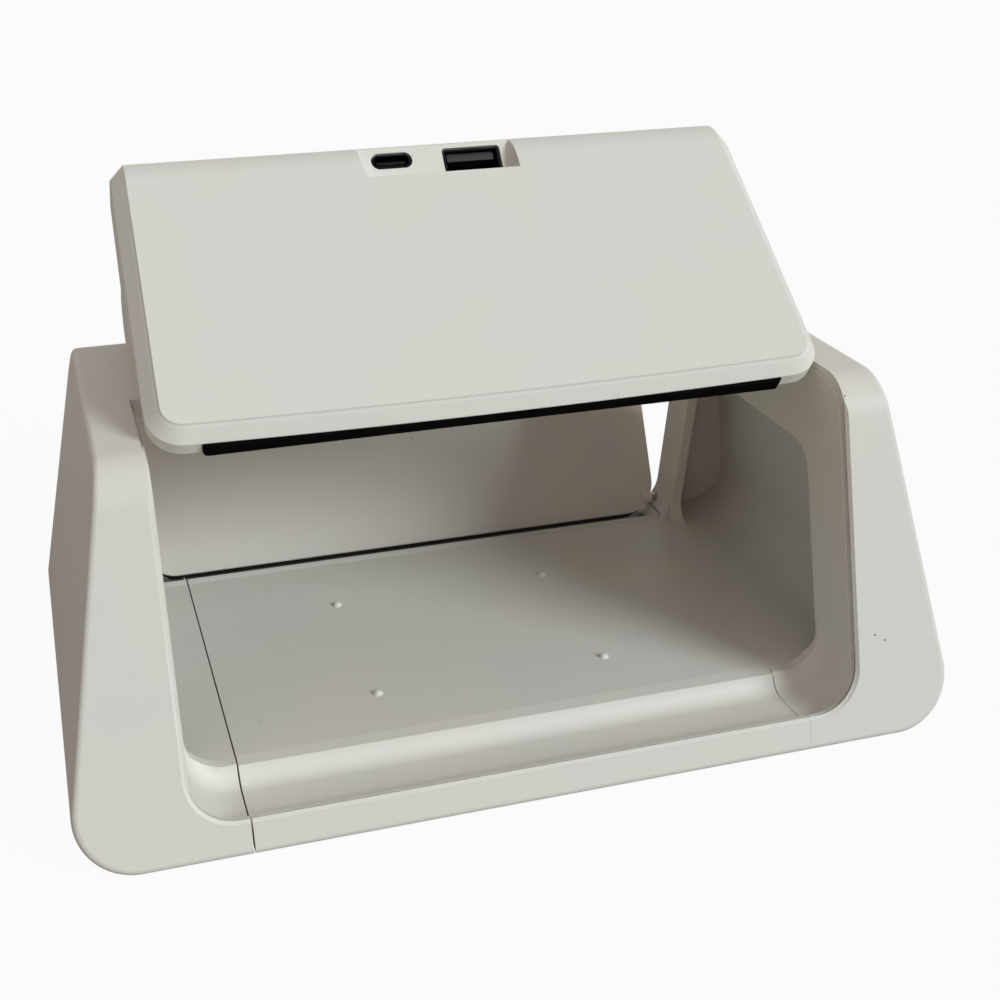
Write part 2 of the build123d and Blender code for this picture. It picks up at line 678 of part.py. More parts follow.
# Notch, cut outwards from the upright plane that the sockets open in.
with BuildPart() as port_notch:
    with BuildSketch(Plane.XY.offset(NOTCH_LOW_Z)):
        with Locations(((NOTCH_X[0] + NOTCH_X[1]) / 2, PORT_Y - port_depth / 2 - NOTCH_REACH / 2)):
            Rectangle(port_width, port_depth + NOTCH_REACH)
    extrude(amount=REACH)
    split(bisect_by=notch_wall(NOTCH_X[1], -1), keep=Keep.TOP)
    split(bisect_by=notch_wall(NOTCH_X[0], 1), keep=Keep.TOP)


def socket_outline(x, z, width, height, corner_r, grow):
    """Rounded outline of a socket in the port plane, grown all round."""
    with BuildSketch() as outline:
        with Locations((x, z)):
            RectangleRounded(width + 2 * grow, height + 2 * grow, corner_r + grow)
    return outline.sketch


usb_c_outline = (USB_C_X, USB_C_Z, USB_C_SIZE[0], USB_C_SIZE[1], USB_C_SIZE[1] / 2 - 0.05)
usb_a_outline = (USB_A_X, USB_A_Z, USB_A_SIZE[0], USB_A_SIZE[1], 0.4)


def up_face(depth, up):
    """Y and Z of a point at a depth behind the front face and a way up it from the cover's lower end."""
    along = (sin(LEAN_ANGLE), cos(LEAN_ANGLE))
    return (
        face_y(COVER_LOW_Z) + depth * along[1] + up * along[0],
        COVER_LOW_Z - depth * along[0] + up * along[1],
    )


# Side walls of the front cover, outside the liner and the top module.
with BuildPart() as cheeks:
    with BuildSketch(Plane.YZ):
        with BuildLine():
            Polyline(
                up_face(0, CHEEK_LOW),
                up_face(COVER_RIM, CHEEK_LOW),
                up_face(CHEEK_DEPTH, CHEEK_FULL),
                *CHEEK_REAR,
                (COVER_BACK_Y, CHEEK_REAR[1][1] + 3),
                (COVER_BACK_Y, TOP_Z),
                up_face(0, TOP_Z),
                close=True,
            )
        make_face()
        add(side_profile(COVER_CHAMFER + 0.4, 0), mode=Mode.INTERSECT)
    extrude(amount=REACH, both=True)
    add(cover_outline(3 * BEND_R).part, mode=Mode.INTERSECT)
    with BuildSketch(Plane.YZ):
        Rectangle(2 * REACH, 2 * REACH)
    extrude(amount=HOOD_HALF + 0.35, both=True, mode=Mode.SUBTRACT)

with BuildPart() as front_cover:
    add(cover_band(0, COVER_RIM, 0).part)
    add(cover_outline(2 * BEND_R).part, mode=Mode.INTERSECT)
    outside = front_cover.edges().filter_by(lambda e: abs(outside_gap(e @ 0.5)) < 0.05)
    outside = outside.filter_by(lambda e: abs((e @ 0.5).X) > 60 or (e @ 0.5).Z < COVER_LOW_Z + 2)
    chamfer(outside, COVER_CHAMFER)
    add(cover_hollow.part, mode=Mode.SUBTRACT)
    add(cheeks.part)
    add(port_notch.part, mode=Mode.SUBTRACT)
    with BuildSketch(Plane.XZ.offset(-PORT_Y - PORT_WALL - 1)):
        add(socket_outline(*usb_c_outline, SOCKET_GAP))
        add(socket_outline(*usb_a_outline, SOCKET_GAP))
    extrude(amount=PORT_WALL + 3, mode=Mode.SUBTRACT)
    # Slot for the closing seal, in the lower rim.
    with BuildSketch(face_plane(COVER_CHAMFER + 0.2)):
        Rectangle(2 * SEAL_HALF + 0.2, 2 * SEAL_HEIGHT)
    extrude(amount=-COVER_RIM, mode=Mode.SUBTRACT)
write(front_cover, "front_cover", hood=True)

with BuildPart() as closing_seal:
    with BuildSketch(face_plane(COVER_CHAMFER + 0.25)) as strip:
        with Locations((0, (SEAL_HEIGHT - 0.1 - SEAL_PROUD) / 2)):
            Rectangle(2 * SEAL_HALF, SEAL_HEIGHT - 0.1 + SEAL_PROUD)
        fillet(strip.vertices().group_by(Axis.Y)[0], 1.1)
    extrude(amount=-(COVER_RIM - COVER_CHAMFER - 0.3))
write(closing_seal, "closing_seal", hood=True)

with BuildPart() as front_liner:
    add(cover_band(COVER_RIM + 0.05, COVER_RIM + LINER_WALL, 0).part)
    add(inner_prism(LINER_HALF + 1.0, 1.6, COVER_CORNER_R, 30).part, mode=Mode.INTERSECT)
    with BuildSketch(Plane.XY.offset(MODULE_Z + MODULE_FLOOR)):
        Rectangle(2 * REACH, 2 * REACH)
    extrude(amount=REACH, mode=Mode.SUBTRACT)
write(front_liner, "front_liner", hood=True)

liner_inset = COVER_RIM + LINER_WALL + JOINT_GAP

# Side view of the top module: behind the liner, under the front cover's end and the top skin.
with BuildSketch() as module_view:
    add(side_profile(0, 0))
    with Locations((COVER_BACK_Y + JOINT_GAP + REACH / 2, 0)):
        Rectangle(REACH, 2 * REACH, mode=Mode.INTERSECT)
    with BuildSketch(mode=Mode.PRIVATE) as nose:
        add(side_profile(liner_inset, 0))
    add(nose.sketch)
    with Locations((0, MODULE_Z + REACH / 2)):
        Rectangle(2 * REACH, REACH, mode=Mode.INTERSECT)

with BuildPart() as top_cover:
    add(side_slab(HOOD_HALF, module_view.sketch).part)
    add(side_slab(HOOD_HALF - HOOD_WALL, side_profile(TOP_SKIN, 0)).part, mode=Mode.SUBTRACT)
    with BuildSketch(Plane.XY.offset(TOP_Z - TOP_SKIN)):
        with Locations(*HOOD_SCREWS):
            Circle(BOSS_R)
    extrude(amount=-(TOP_Z - TOP_SKIN - MODULE_Z - MODULE_FLOOR - 0.1))
    with BuildSketch(Plane.XY.offset(MODULE_Z + MODULE_FLOOR)):
        with Locations(*HOOD_SCREWS):
            Circle(SCREW_R + PRESS_CLEARANCE)
    extrude(amount=HOOD_SCREW_LENGTH, mode=Mode.SUBTRACT)
    with BuildSketch(Plane.XY.offset(TOP_Z - TOP_SKIN)):
        with Locations(BUTTON_AT):
            Circle(BUTTON_R + BUTTON_GAP)
        with Locations(LIGHT_AT):
            Circle(LIGHT_R + 0.05)
    extrude(amount=TOP_SKIN, mode=Mode.SUBTRACT)
write(top_cover, "top_cover", hood=True)

shell_half = HOOD_HALF - HOOD_WALL - JOINT_GAP
shell_top = MODULE_Z + MODULE_FLOOR

with BuildPart() as inner_shell:
    with BuildSketch(Plane.YZ):
        add(side_profile(liner_inset, 0))
        with Locations((REACH / 2, 0)):
            Rectangle(REACH, 2 * REACH, mode=Mode.SUBTRACT)
        with BuildSketch(mode=Mode.PRIVATE) as rear:
            add(side_profile(TOP_SKIN + JOINT_GAP, 0))
            with Locations((-REACH / 2, 0)):
                Rectangle(REACH, 2 * REACH, mode=Mode.SUBTRACT)
        add(rear.sketch)
        with Locations((0, MODULE_Z + MODULE_FLOOR / 2)):
            Rectangle(2 * REACH, MODULE_FLOOR, mode=Mode.INTERSECT)
    extrude(amount=shell_half, both=True)
    # Frame that the ultraviolet board sits on, and posts for the main board.
    with BuildSketch(Plane.XY.offset(shell_top)):
        with Locations((0, COIL_Y)):
            Rectangle(WINDOW_SIZE[0] + 6, WINDOW_SIZE[1] + 6)
    extrude(amount=UV_BOARD_Z - shell_top)
    with BuildSketch(Plane.XY.offset(shell_top)):
        with Locations(*BOARD_SCREWS):
            Circle(BOARD_POST_R)
    extrude(amount=BOARD_Z - shell_top)
    with BuildSketch(Plane.XY.offset(MODULE_Z)):
        with Locations((0, COIL_Y)):
            Rectangle(WINDOW_SIZE[0] - 4, WINDOW_SIZE[1] - 4)
    extrude(amount=UV_BOARD_Z - MODULE_Z, mode=Mode.SUBTRACT)
    with BuildSketch(Plane.XY.offset(MODULE_Z)):
        with Locations((0, COIL_Y)):
            Rectangle(WINDOW_SIZE[0] + 0.2, WINDOW_SIZE[1] + 0.2)
    extrude(amount=WINDOW_THICK + 0.1, mode=Mode.SUBTRACT)
    with BuildSketch(Plane.XY.offset(BOARD_Z)):
        with Locations(*BOARD_SCREWS):
            Circle(SCREW_R + PRESS_CLEARANCE)
    extrude(amount=-BOARD_SCREW_LENGTH, mode=Mode.SUBTRACT)
    with BuildSketch(Plane.XY.offset(MODULE_Z)):
        with Locations(*HOOD_SCREWS):
            Circle(SCREW_R + 0.2)
    extrude(amount=MODULE_FLOOR, mode=Mode.SUBTRACT)
    with BuildSketch(Plane.XY.offset(MODULE_Z)):
        with Locations(*HOOD_SCREWS):
            Circle(SCREW_HEAD_R + 0.2)
    extrude(amount=SCREW_HEAD + 0.05, mode=Mode.SUBTRACT)
write(inner_shell, "inner_shell", hood=True)

with BuildPart() as back_panel:
    with BuildSketch(Plane.YZ):
        add(side_profile(0, 0))
        add(side_profile(PANEL_WALL, 0), mode=Mode.SUBTRACT)
        with Locations((REACH / 2, (PANEL_LOW_Z + MODULE_Z - JOINT_GAP) / 2)):
            Rectangle(REACH, MODULE_Z - JOINT_GAP - PANEL_LOW_Z, mode=Mode.INTERSECT)
    extrude(amount=REACH, both=True)
    with BuildSketch(Plane.XZ) as panel_view:
        with Locations((0, PANEL_LOW_Z + REACH / 2)):
            Rectangle(2 * PANEL_HALF, REACH)
        fillet(panel_view.vertices().group_by(Axis.Y)[0], PANEL_CORNER_R)
    extrude(amount=REACH, both=True, mode=Mode.INTERSECT)
    # Barrels that turn on the hinge pins.
    for side in (-1, 1):
        with BuildSketch(Plane.YZ.offset(side * HINGE_BARREL_X[0])):
            with Locations((HINGE_Y, HINGE_Z)):
                Circle(HINGE_BARREL_R)
        extrude(amount=side * (HINGE_BARREL_X[1] - HINGE_BARREL_X[0]))
        with BuildSketch(Plane.YZ.offset(side * (HINGE_PIN_X[0] - 0.3))):
            with Locations((HINGE_Y, HINGE_Z)):
                Circle(HINGE_PIN_R + RUNNING_CLEARANCE)
        extrude(amount=side * 8, mode=Mode.SUBTRACT)
write(back_panel, "back_panel", hood=True)

with BuildPart() as usb_c_socket:
    with BuildSketch(Plane.XZ.offset(-PORT_Y - SOCKET_BACK)):
        add(socket_outline(*usb_c_outline, 0))
    extrude(amount=-USB_C_SIZE[2])
    with BuildSketch(Plane.XZ.offset(-PORT_Y - SOCKET_BACK)):
        add(socket_outline(*usb_c_outline, -0.3))
    extrude(amount=-(USB_C_SIZE[2] - 1.2), mode=Mode.SUBTRACT)
    # Tongue, and the seat that lifts the socket off the board.
    with BuildSketch(Plane.XZ.offset(-PORT_Y - SOCKET_BACK - 1)):
        with Locations((USB_C_X, USB_C_Z)):
            Rectangle(6.7, 0.7)
    extrude(amount=-(USB_C_SIZE[2] - 1.5))
    seat_height = USB_C_Z - USB_C_SIZE[1] / 2 - BOARD_TOP + 0.2
    with BuildSketch(Plane.XY.offset(BOARD_TOP)):
        with Locations((USB_C_X, BOARD_FRONT_Y + 3.2)):
            Rectangle(USB_C_SIZE[0] - 1.4, 4.4)
    extrude(amount=seat_height)
write(usb_c_socket, "usb_c_socket", hood=True)

with BuildPart() as usb_a_shell:
    with BuildSketch(Plane.XZ.offset(-PORT_Y - SOCKET_BACK)):
        add(socket_outline(*usb_a_outline, 0))
    extrude(amount=-USB_A_SIZE[2])
    with BuildSketch(Plane.XZ.offset(-PORT_Y - SOCKET_BACK)):
        add(socket_outline(*usb_a_outline, -0.35))
    extrude(amount=-(USB_A_SIZE[2] - 1.0), mode=Mode.SUBTRACT)
write(usb_a_shell, "usb_a_shell", hood=True)

with BuildPart() as usb_a_tongue:
    with BuildSketch(Plane.XZ.offset(-PORT_Y - SOCKET_BACK - 1.2)):
        with Locations((USB_A_X, USB_A_Z + USB_A_SIZE[1] / 2 - 0.35 - 1.15)):
            Rectangle(11.1, 1.9)
    extrude(amount=-(USB_A_SIZE[2] - 2.3))
write(usb_a_tongue, "usb_a_tongue", hood=True)

with BuildPart() as main_board:
    with BuildSketch(Plane.XY.offset(BOARD_Z)):
        with Locations((0, BOARD_FRONT_Y + BOARD_SIZE[1] / 2)):
            RectangleRounded(BOARD_SIZE[0], BOARD_SIZE[1], 1.5)
        with Locations(*BOARD_SCREWS):
            Circle(SCREW_R + 0.15, mode=Mode.SUBTRACT)
    extrude(amount=BOARD_SIZE[2])
    # Charging controller, converter coil and storage capacitors.
    with BuildSketch(Plane.XY.offset(BOARD_TOP)):
        with Locations((-32, BOARD_FRONT_Y + 15), (-32, BOARD_FRONT_Y + 25)):
            Rectangle(7, 6)
        with Locations((24, BOARD_FRONT_Y + 27)):
            Rectangle(5, 5)
    extrude(amount=1.6)
write(main_board, "main_board", hood=True)

for number, (x, y) in enumerate(BOARD_SCREWS, start=1):
    with BuildPart() as board_screw:
        add(screw(x, y, BOARD_TOP, SCREW_HEAD, 1).part)
        with BuildSketch(Plane.XY.offset(BOARD_TOP)):
            with Locations((x, y)):
                Circle(SCREW_R)
        extrude(amount=-(BOARD_SCREW_LENGTH + BOARD_SIZE[2] - 0.5))
    write(board_screw, f"board_screw_{number}", hood=True)

for number, (x, y) in enumerate(HOOD_SCREWS, start=1):
    write(screw(x, y, MODULE_Z, HOOD_SCREW_LENGTH, 1), f"hood_screw_{number}", hood=True)

with BuildPart() as charging_coil:
    with BuildSketch(Plane.XY.offset(COIL_Z)):
        with Locations((0, COIL_Y)):
            Circle(COIL_R[1])
            Circle(COIL_R[0], mode=Mode.SUBTRACT)
    extrude(amount=COIL_THICK)
    fillet(charging_coil.edges().filter_by(GeomType.CIRCLE), 0.6)
write(charging_coil, "charging_coil", hood=True)

with BuildPart() as ferrite_sheet:
    with BuildSketch(Plane.XY.offset(COIL_Z - FERRITE_SIZE[2])):
        with Locations((0, COIL_Y)):
            RectangleRounded(FERRITE_SIZE[0], FERRITE_SIZE[1], 2)
    extrude(amount=FERRITE_SIZE[2])
write(ferrite_sheet, "ferrite_sheet", hood=True)

with BuildPart() as uv_board:
    with BuildSketch(Plane.XY.offset(UV_BOARD_Z)):
        with Locations((0, COIL_Y)):
            RectangleRounded(UV_BOARD_SIZE[0], UV_BOARD_SIZE[1], 1)
    extrude(amount=UV_BOARD_SIZE[2])
write(uv_board, "uv_board", hood=True)

for number in range(4):
    with BuildPart() as uv_led:
        with BuildSketch(Plane.XY.offset(UV_BOARD_Z)):
            with Locations(((number - 1.5) * UV_LED_PITCH, COIL_Y)):
                Rectangle(UV_LED_SIZE, UV_LED_SIZE)
        extrude(amount=-UV_LED_HEIGHT)
        with BuildSketch(Plane.XY.offset(UV_BOARD_Z - UV_LED_HEIGHT)):
            with Locations(((number - 1.5) * UV_LED_PITCH, COIL_Y)):
                Circle(UV_LED_SIZE * 0.36)
        extrude(amount=0.3, mode=Mode.SUBTRACT)
    write(uv_led, f"uv_led_{number + 1}", hood=True)

with BuildPart() as uv_window:
    with BuildSketch(Plane.XY.offset(MODULE_Z + 0.05)):
        with Locations((0, COIL_Y)):
            Rectangle(WINDOW_SIZE[0], WINDOW_SIZE[1])
    extrude(amount=WINDOW_THICK)
write(uv_window, "uv_window", hood=True)

with BuildPart() as start_button:
    with BuildSketch(Plane.XY.offset(TOP_Z - TOP_SKIN - 0.05)):
        with Locations(BUTTON_AT):
            Circle(BUTTON_FLANGE_R)
    extrude(amount=-BUTTON_FLANGE)
    with BuildSketch(Plane.XY.offset(TOP_Z - TOP_SKIN - 0.05)):
        with Locations(BUTTON_AT):
            Circle(BUTTON_R)
    extrude(amount=TOP_SKIN + BUTTON_PROUD)
    fillet(start_button.faces().sort_by(Axis.Z)[-1].edges(), 0.5)
    with BuildSketch(Plane.XY.offset(TOP_Z - TOP_SKIN - 0.05 - BUTTON_FLANGE)):
        with Locations(BUTTON_AT):
            Circle(SWITCH_STEM_R)
    extrude(amount=-BUTTON_PUSHER)
write(start_button, "start_button", hood=True)

stem_top = TOP_Z - TOP_SKIN - 0.1 - BUTTON_FLANGE - BUTTON_PUSHER - BUTTON_TRAVEL
with BuildPart() as tact_switch:
    with BuildSketch(Plane.XY.offset(BOARD_TOP)):
        with Locations(BUTTON_AT):
            RectangleRounded(SWITCH_SIZE, SWITCH_SIZE, 0.6)
    extrude(amount=stem_top - BOARD_TOP - SWITCH_STEM)
    with BuildSketch(Plane.XY.offset(stem_top - SWITCH_STEM)):
        with Locations(BUTTON_AT):
            Circle(SWITCH_STEM_R)
    extrude(amount=SWITCH_STEM)
write(tact_switch, "tact_switch", hood=True)

with BuildPart() as status_light:
    with BuildSketch(Plane.XY.offset(BOARD_TOP)):
        with Locations(LIGHT_AT):
            Circle(LIGHT_R + 0.7)
    extrude(amount=1.4)
    with BuildSketch(Plane.XY.offset(BOARD_TOP)):
        with Locations(LIGHT_AT):
            Circle(LIGHT_R)
    extrude(amount=TOP_Z - BOARD_TOP)
write(status_light, "status_light", hood=True)

with BuildPart() as interlock_magnet:
    with BuildSketch(face_plane(COVER_SKIN + 0.1)):
        with Locations((INTERLOCK_X, COVER_LIP + 2.2)):
            Rectangle(10, 3)
    extrude(amount=-3)
write(interlock_magnet, "interlock_magnet", hood=True)
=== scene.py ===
"""Looks of the ultraviolet sanitizer box for phones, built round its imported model."""

import json
from math import cos, pi, radians, sin

import bpy
from bpy.props import FloatProperty, FloatVectorProperty, IntProperty, PointerProperty
from mathutils import Matrix, Vector


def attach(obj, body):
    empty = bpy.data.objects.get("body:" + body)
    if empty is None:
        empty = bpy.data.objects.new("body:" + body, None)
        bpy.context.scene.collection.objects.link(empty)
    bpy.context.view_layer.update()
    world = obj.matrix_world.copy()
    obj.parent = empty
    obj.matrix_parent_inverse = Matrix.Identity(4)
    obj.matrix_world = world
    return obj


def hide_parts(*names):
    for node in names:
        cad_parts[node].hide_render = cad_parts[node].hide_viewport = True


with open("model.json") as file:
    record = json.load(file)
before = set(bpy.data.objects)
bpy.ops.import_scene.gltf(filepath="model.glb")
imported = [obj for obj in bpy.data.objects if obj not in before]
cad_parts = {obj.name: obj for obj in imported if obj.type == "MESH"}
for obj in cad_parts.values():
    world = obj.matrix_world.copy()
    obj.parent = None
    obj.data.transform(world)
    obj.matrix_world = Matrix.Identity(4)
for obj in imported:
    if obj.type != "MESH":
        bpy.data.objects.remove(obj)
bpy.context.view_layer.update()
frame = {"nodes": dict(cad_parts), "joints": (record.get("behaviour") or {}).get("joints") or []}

bl_info = {
    "name": "Phone Sanitizer Box Looks",
    "version": (1, 0, 0),
    "blender": (4, 5, 0),
    "location": "View3D > Sidebar > Sanitizer Box",
    "description": "Gives the packed sanitizer box its plastics, metals, small parts and studio",
    "category": "Object",
}

MM = 0.001

HINGE = next(joint for joint in frame["joints"] if joint["name"] == "hood_hinge")
HINGE_POINT = Vector(HINGE["pos_m"])
SHUT_ANGLE = radians(HINGE["range_deg"][0])
OPENED = (
    Matrix.Translation(HINGE_POINT)
    @ Matrix.Rotation(-SHUT_ANGLE, 4, Vector(HINGE["axis"]))
    @ Matrix.Translation(-HINGE_POINT)
)  # carries a place on the shut hood to where it is on the open one

# Colours of the mouldings beside the settings' own, and of the shadow and highlights painted on them.
BASE_TINT = (0.985, 0.968, 0.960)  # the base's colour against the hood's: a little darker and warmer
PANEL_SHADE_TINT = (1.02, 0.97, 0.955)  # the back panel's, warmer: painted warm shade of the chamber's inside
# near black of the shadow painted in the hinge channel
CHANNEL_SHADOW = (0.024, 0.018, 0.013)
# pale of the highlight painted along the mouth's edge
EDGE_HIGHLIGHT = (0.88, 0.87, 0.84)
# pale of the highlight painted on the front cover's bevel
BEVEL_HIGHLIGHT = (0.90, 0.89, 0.87)

# The base and the shut hood share one leaning front. It would meet the ground this far in front of the
# middle, and leans back by this share of its height.
FRONT_FOOT = 62.93 * MM
FRONT_LEAN = 0.25

# Places of marks on the base. Each pair holds the two sides of one soft edge.
CHANNEL_FRONT = (50.9 * MM, 51.3 * MM)
CHANNEL_BACK = (59.0 * MM, 59.3 * MM)
CHANNEL_TOP = (9.0 * MM, 9.5 * MM)
CHANNEL_END = (68.5 * MM, 70.5 * MM)
MOUTH_SIDE = (75.6 * MM, 75.9 * MM)
MOUTH_FOOT = (7.0 * MM, 7.3 * MM)
MOUTH_TOP = (40.0 * MM, 52.0 * MM)
GROOVE_TOP = (12.0 * MM, 24.0 * MM)
RIDGE_FRONT = (47.4 * MM, 50.7 * MM)
RIDGE_TOP = (10.0 * MM, 10.6 * MM)
RIDGE_END = (73.6 * MM, 74.2 * MM)
RIDGE_HEIGHT = 1.6 * MM
BEVEL_TOP = (56.0 * MM, 66.0 * MM)  # where the lines on the front cover end, on the shut hood
DOTS = ((79.43, -56.87, 24.24), (81.88, -57.25, 22.74))  # two small dots on the right pod, in mm
DOT_EDGE = (0.22 * MM, 0.34 * MM)

# Places on the shut hood, where each piece of the hood is drawn.
WIDE_CONTACT = Vector((5.5, -33.6, 74.24)) * MM
WIDE_SPRING = Vector((5.9, -35.8, 71.47)) * MM
SMALL_CONTACTS = Vector((-9.9, -37.7, 75.26)) * MM  # middle of the upper row
SMALL_ROW = 12  # contacts in a row
SMALL_ROW_DROP = 0.72 * MM  # from the upper row to the lower one
COIL_FOOT = Vector((0, 8.0, 75.3)) * MM
COIL_INNER = 10.0 * MM
COIL_OUTER = 23.0 * MM
COIL_HEIGHT = 2.2 * MM
COIL_LEAD = Vector((-6.0, -16.7, 75.9)) * MM
FIRST_LAMP = Vector((-30.0, 8.0, 65.0)) * MM
LAMP_PITCH = 20.0 * MM
LAMP_COUNT = 4
BOARD_TOP = 71.05  # this and the places on the board are in mm
PACKAGE = (-32.0, -24.2)
PACKAGE_PITCH = 10.0  # from one package to the next
LEG_PITCH = 0.8
LEG_COUNT = 7
CAPACITORS = (
    (-22, -30), (-22, -27), (-22, -24), (-19, -22), (-44, -28), (-44, -25), (-44, -22), (-40, -32),
    (21, -31), (24, -31), (27, -31), (30, -28), (30, -25), (18, -18), (21, -18), (40, -28), (40, -25),
    (43, -28), (-1, -22), (2, -22))

# Stage.
FLOOR_SIZE = 9.0
FLOOR_WHITE = 0.95  # share of plain white in the floor that the camera sees; the rest is lit and shadowed
MIRRORED_FLOOR = 0.15  # share of that white that shiny things show
KEY_FROM = Vector((0.56, -0.69, 0.43))
KEY_COLOR = (0.86, 0.974, 1.0)
TOP_FROM = Vector((-0.28, -0.30, 0.91))
TOP_COLOR = (1.0, 0.97, 0.92)
TOP_SOFTNESS = radians(100)
CAMERA_PLACE = Vector((-89.34, -325.31, 190.783)) * MM
CAMERA_YAW = 0.293726  # to the right of straight ahead, in radians
CAMERA_PITCH = 0.408634  # downwards
CAMERA_ROLL = 0.0120208
SENSOR_WIDTH = 36.0
FOCAL_SHARE = 1.54472  # focal length over the sensor's width


# --- Settings -----------------------------------------------------------------------------------------


class PlasticSettings(bpy.types.PropertyGroup):
    """Moulded plastic of the housings."""

    shell_color: FloatVectorProperty(
        name="Shell Colour", description="Colour of the outer mouldings", subtype="COLOR", size=3,
        min=0.0, max=1.0, default=(0.792, 0.779, 0.745))
    inner_color: FloatVectorProperty(
        name="Inner Colour", description="Colour of the mouldings inside the chamber", subtype="COLOR",
        size=3, min=0.0, max=1.0, default=(0.765, 0.735, 0.70))
    # Used for real specks and hairlines, and also for painted shade in corners and along edges.
    grime_and_shade_color: FloatVectorProperty(
        name="Grime and Shade Colour", description="Colour of dust and painted shade in corners, of lines of painted shade, and of stray specks",
        subtype="COLOR", size=3, min=0.0, max=1.0, default=(0.20, 0.17, 0.14))
    grain_size: FloatProperty(
        name="Grain Size", description="Size of the mould's fine grain", subtype="DISTANCE", unit="LENGTH",
        default=0.45 * MM, min=0.1 * MM, max=3 * MM, precision=5)
    grain_depth: FloatProperty(
        name="Grain Depth", description="Depth of the mould's fine grain", subtype="DISTANCE", unit="LENGTH",
        default=0.012 * MM, min=0.0, max=0.2 * MM, precision=6)
    roughness: FloatProperty(
        name="Roughness", description="Roughness of the satin surface", subtype="FACTOR", default=0.42,
        min=0.0, max=1.0)


class SocketSettings(bpy.types.PropertyGroup):
    """Contacts and springs inside the two charging sockets."""

    strip_width: FloatProperty(
        name="Strip Width", description="Width of a contact strip in the wide socket", subtype="DISTANCE",
        unit="LENGTH", default=1.0 * MM, min=0.2 * MM, max=2 * MM, precision=5)
    strip_length: FloatProperty(
        name="Strip Length", description="Length of a contact strip in the wide socket", subtype="DISTANCE",
        unit="LENGTH", default=6.0 * MM, min=2 * MM, max=10 * MM, precision=5)
    pad_pitch: FloatProperty(
        name="Pad Pitch", description="Spacing of the contacts in the small socket", subtype="DISTANCE",
        unit="LENGTH", default=0.5 * MM, min=0.3 * MM, max=1 * MM, precision=5)
    gold_color: FloatVectorProperty(
        name="Contact Colour", description="Colour of the plated contacts", subtype="COLOR", size=3, min=0.0,
        max=1.0, default=(0.46, 0.33, 0.16))


class CoilSettings(bpy.types.PropertyGroup):
    """Wound wire of the wireless charging coil."""

    wire: FloatProperty(
        name="Wire", description="Diameter of the enamelled wire", subtype="DISTANCE", unit="LENGTH",
        default=1.05 * MM, min=0.3 * MM, max=2 * MM, precision=5)
    layers: IntProperty(name="Layers", description="Layers of turns", default=2, min=1, max=3)
    wire_color: FloatVectorProperty(
        name="Wire Colour", description="Colour of the enamelled copper", subtype="COLOR", size=3, min=0.0,
        max=1.0, default=(0.62, 0.25, 0.09))


class StageSettings(bpy.types.PropertyGroup):
    """Floor, lights and camera."""

    floor_color: FloatVectorProperty(
        name="Floor Colour", description="Colour of the plain floor", subtype="COLOR", size=3, min=0.0,
        max=1.0, default=(0.42, 0.39, 0.36))
    fill_color: FloatVectorProperty(
        name="Fill Colour", description="Colour of the soft light from all round", subtype="COLOR", size=3,
        min=0.0, max=1.0, default=(1.0, 0.81, 0.70))
    fill_strength: FloatProperty(
        name="Fill Strength", description="Strength of the soft light from all round", default=0.190, min=0.0,
        max=2.0)
    key_strength: FloatProperty(
        name="Key Strength", description="Strength of the main light", default=2.23, min=0.0, max=10.0)
    top_strength: FloatProperty(
        name="Top Strength", description="Strength of the wide light from above", default=0.46, min=0.0,
        max=5.0)
    key_softness: FloatProperty(
        name="Key Softness", description="Angle that the main light fills, seen from the box",
        subtype="ANGLE", unit="ROTATION", default=radians(25), min=0.0, max=radians(120))


class BoxSettings(bpy.types.PropertyGroup):
    """All settings of the sanitizer box."""

    plastic: PointerProperty(type=PlasticSettings)
    sockets: PointerProperty(type=SocketSettings)
    coil: PointerProperty(type=CoilSettings)
    stage: PointerProperty(type=StageSettings)


# --- Materials ----------------------------------------------------------------------------------------


class Wire:
    """One output of a material's nodes. Maths on it adds Math nodes."""

    def __init__(self, graph, socket):
        self.graph = graph
        self.socket = socket

    def maths(self, operation, first, second=0.0):
        return self.graph.node("ShaderNodeMath", {"operation": operation}, {0: first, 1: second})

    def __add__(self, other):
        return self.maths("ADD", self, other)

    def __radd__(self, other):
        return self.maths("ADD", other, self)

    def __sub__(self, other):
        return self.maths("SUBTRACT", self, other)

    def __rsub__(self, other):
        return self.maths("SUBTRACT", other, self)

    def __mul__(self, other):
        return self.maths("MULTIPLY", self, other)

    def __rmul__(self, other):
        return self.maths("MULTIPLY", other, self)

    def __gt__(self, other):
        return self.maths("GREATER_THAN", self, other)

    def __abs__(self):
        return self.maths("ABSOLUTE", self)

    def at_most(self, limit):
        return self.maths("MINIMUM", self, limit)

    def wave(self, length):
        """Sine with the given wave length, from 0 to 1."""
        return self.maths("SINE", self * (2 * pi / length)) * 0.5 + 0.5

    def over(self, low, high):
        """0 below low, 1 above high, and smooth between them."""
        return self.graph.node(
            "ShaderNodeMapRange", {"interpolation_type": "SMOOTHSTEP"},
            {"Value": self, "From Min": low, "From Max": high, "To Min": 0.0, "To Max": 1.0})

    def under(self, low, high):
        """1 below low, 0 above high, and smooth between them."""
        return 1.0 - self.over(low, high)

    def between(self, start, end):
        """1 from one soft edge to another, and 0 outside them."""
        return self.over(*start) * self.under(*end)


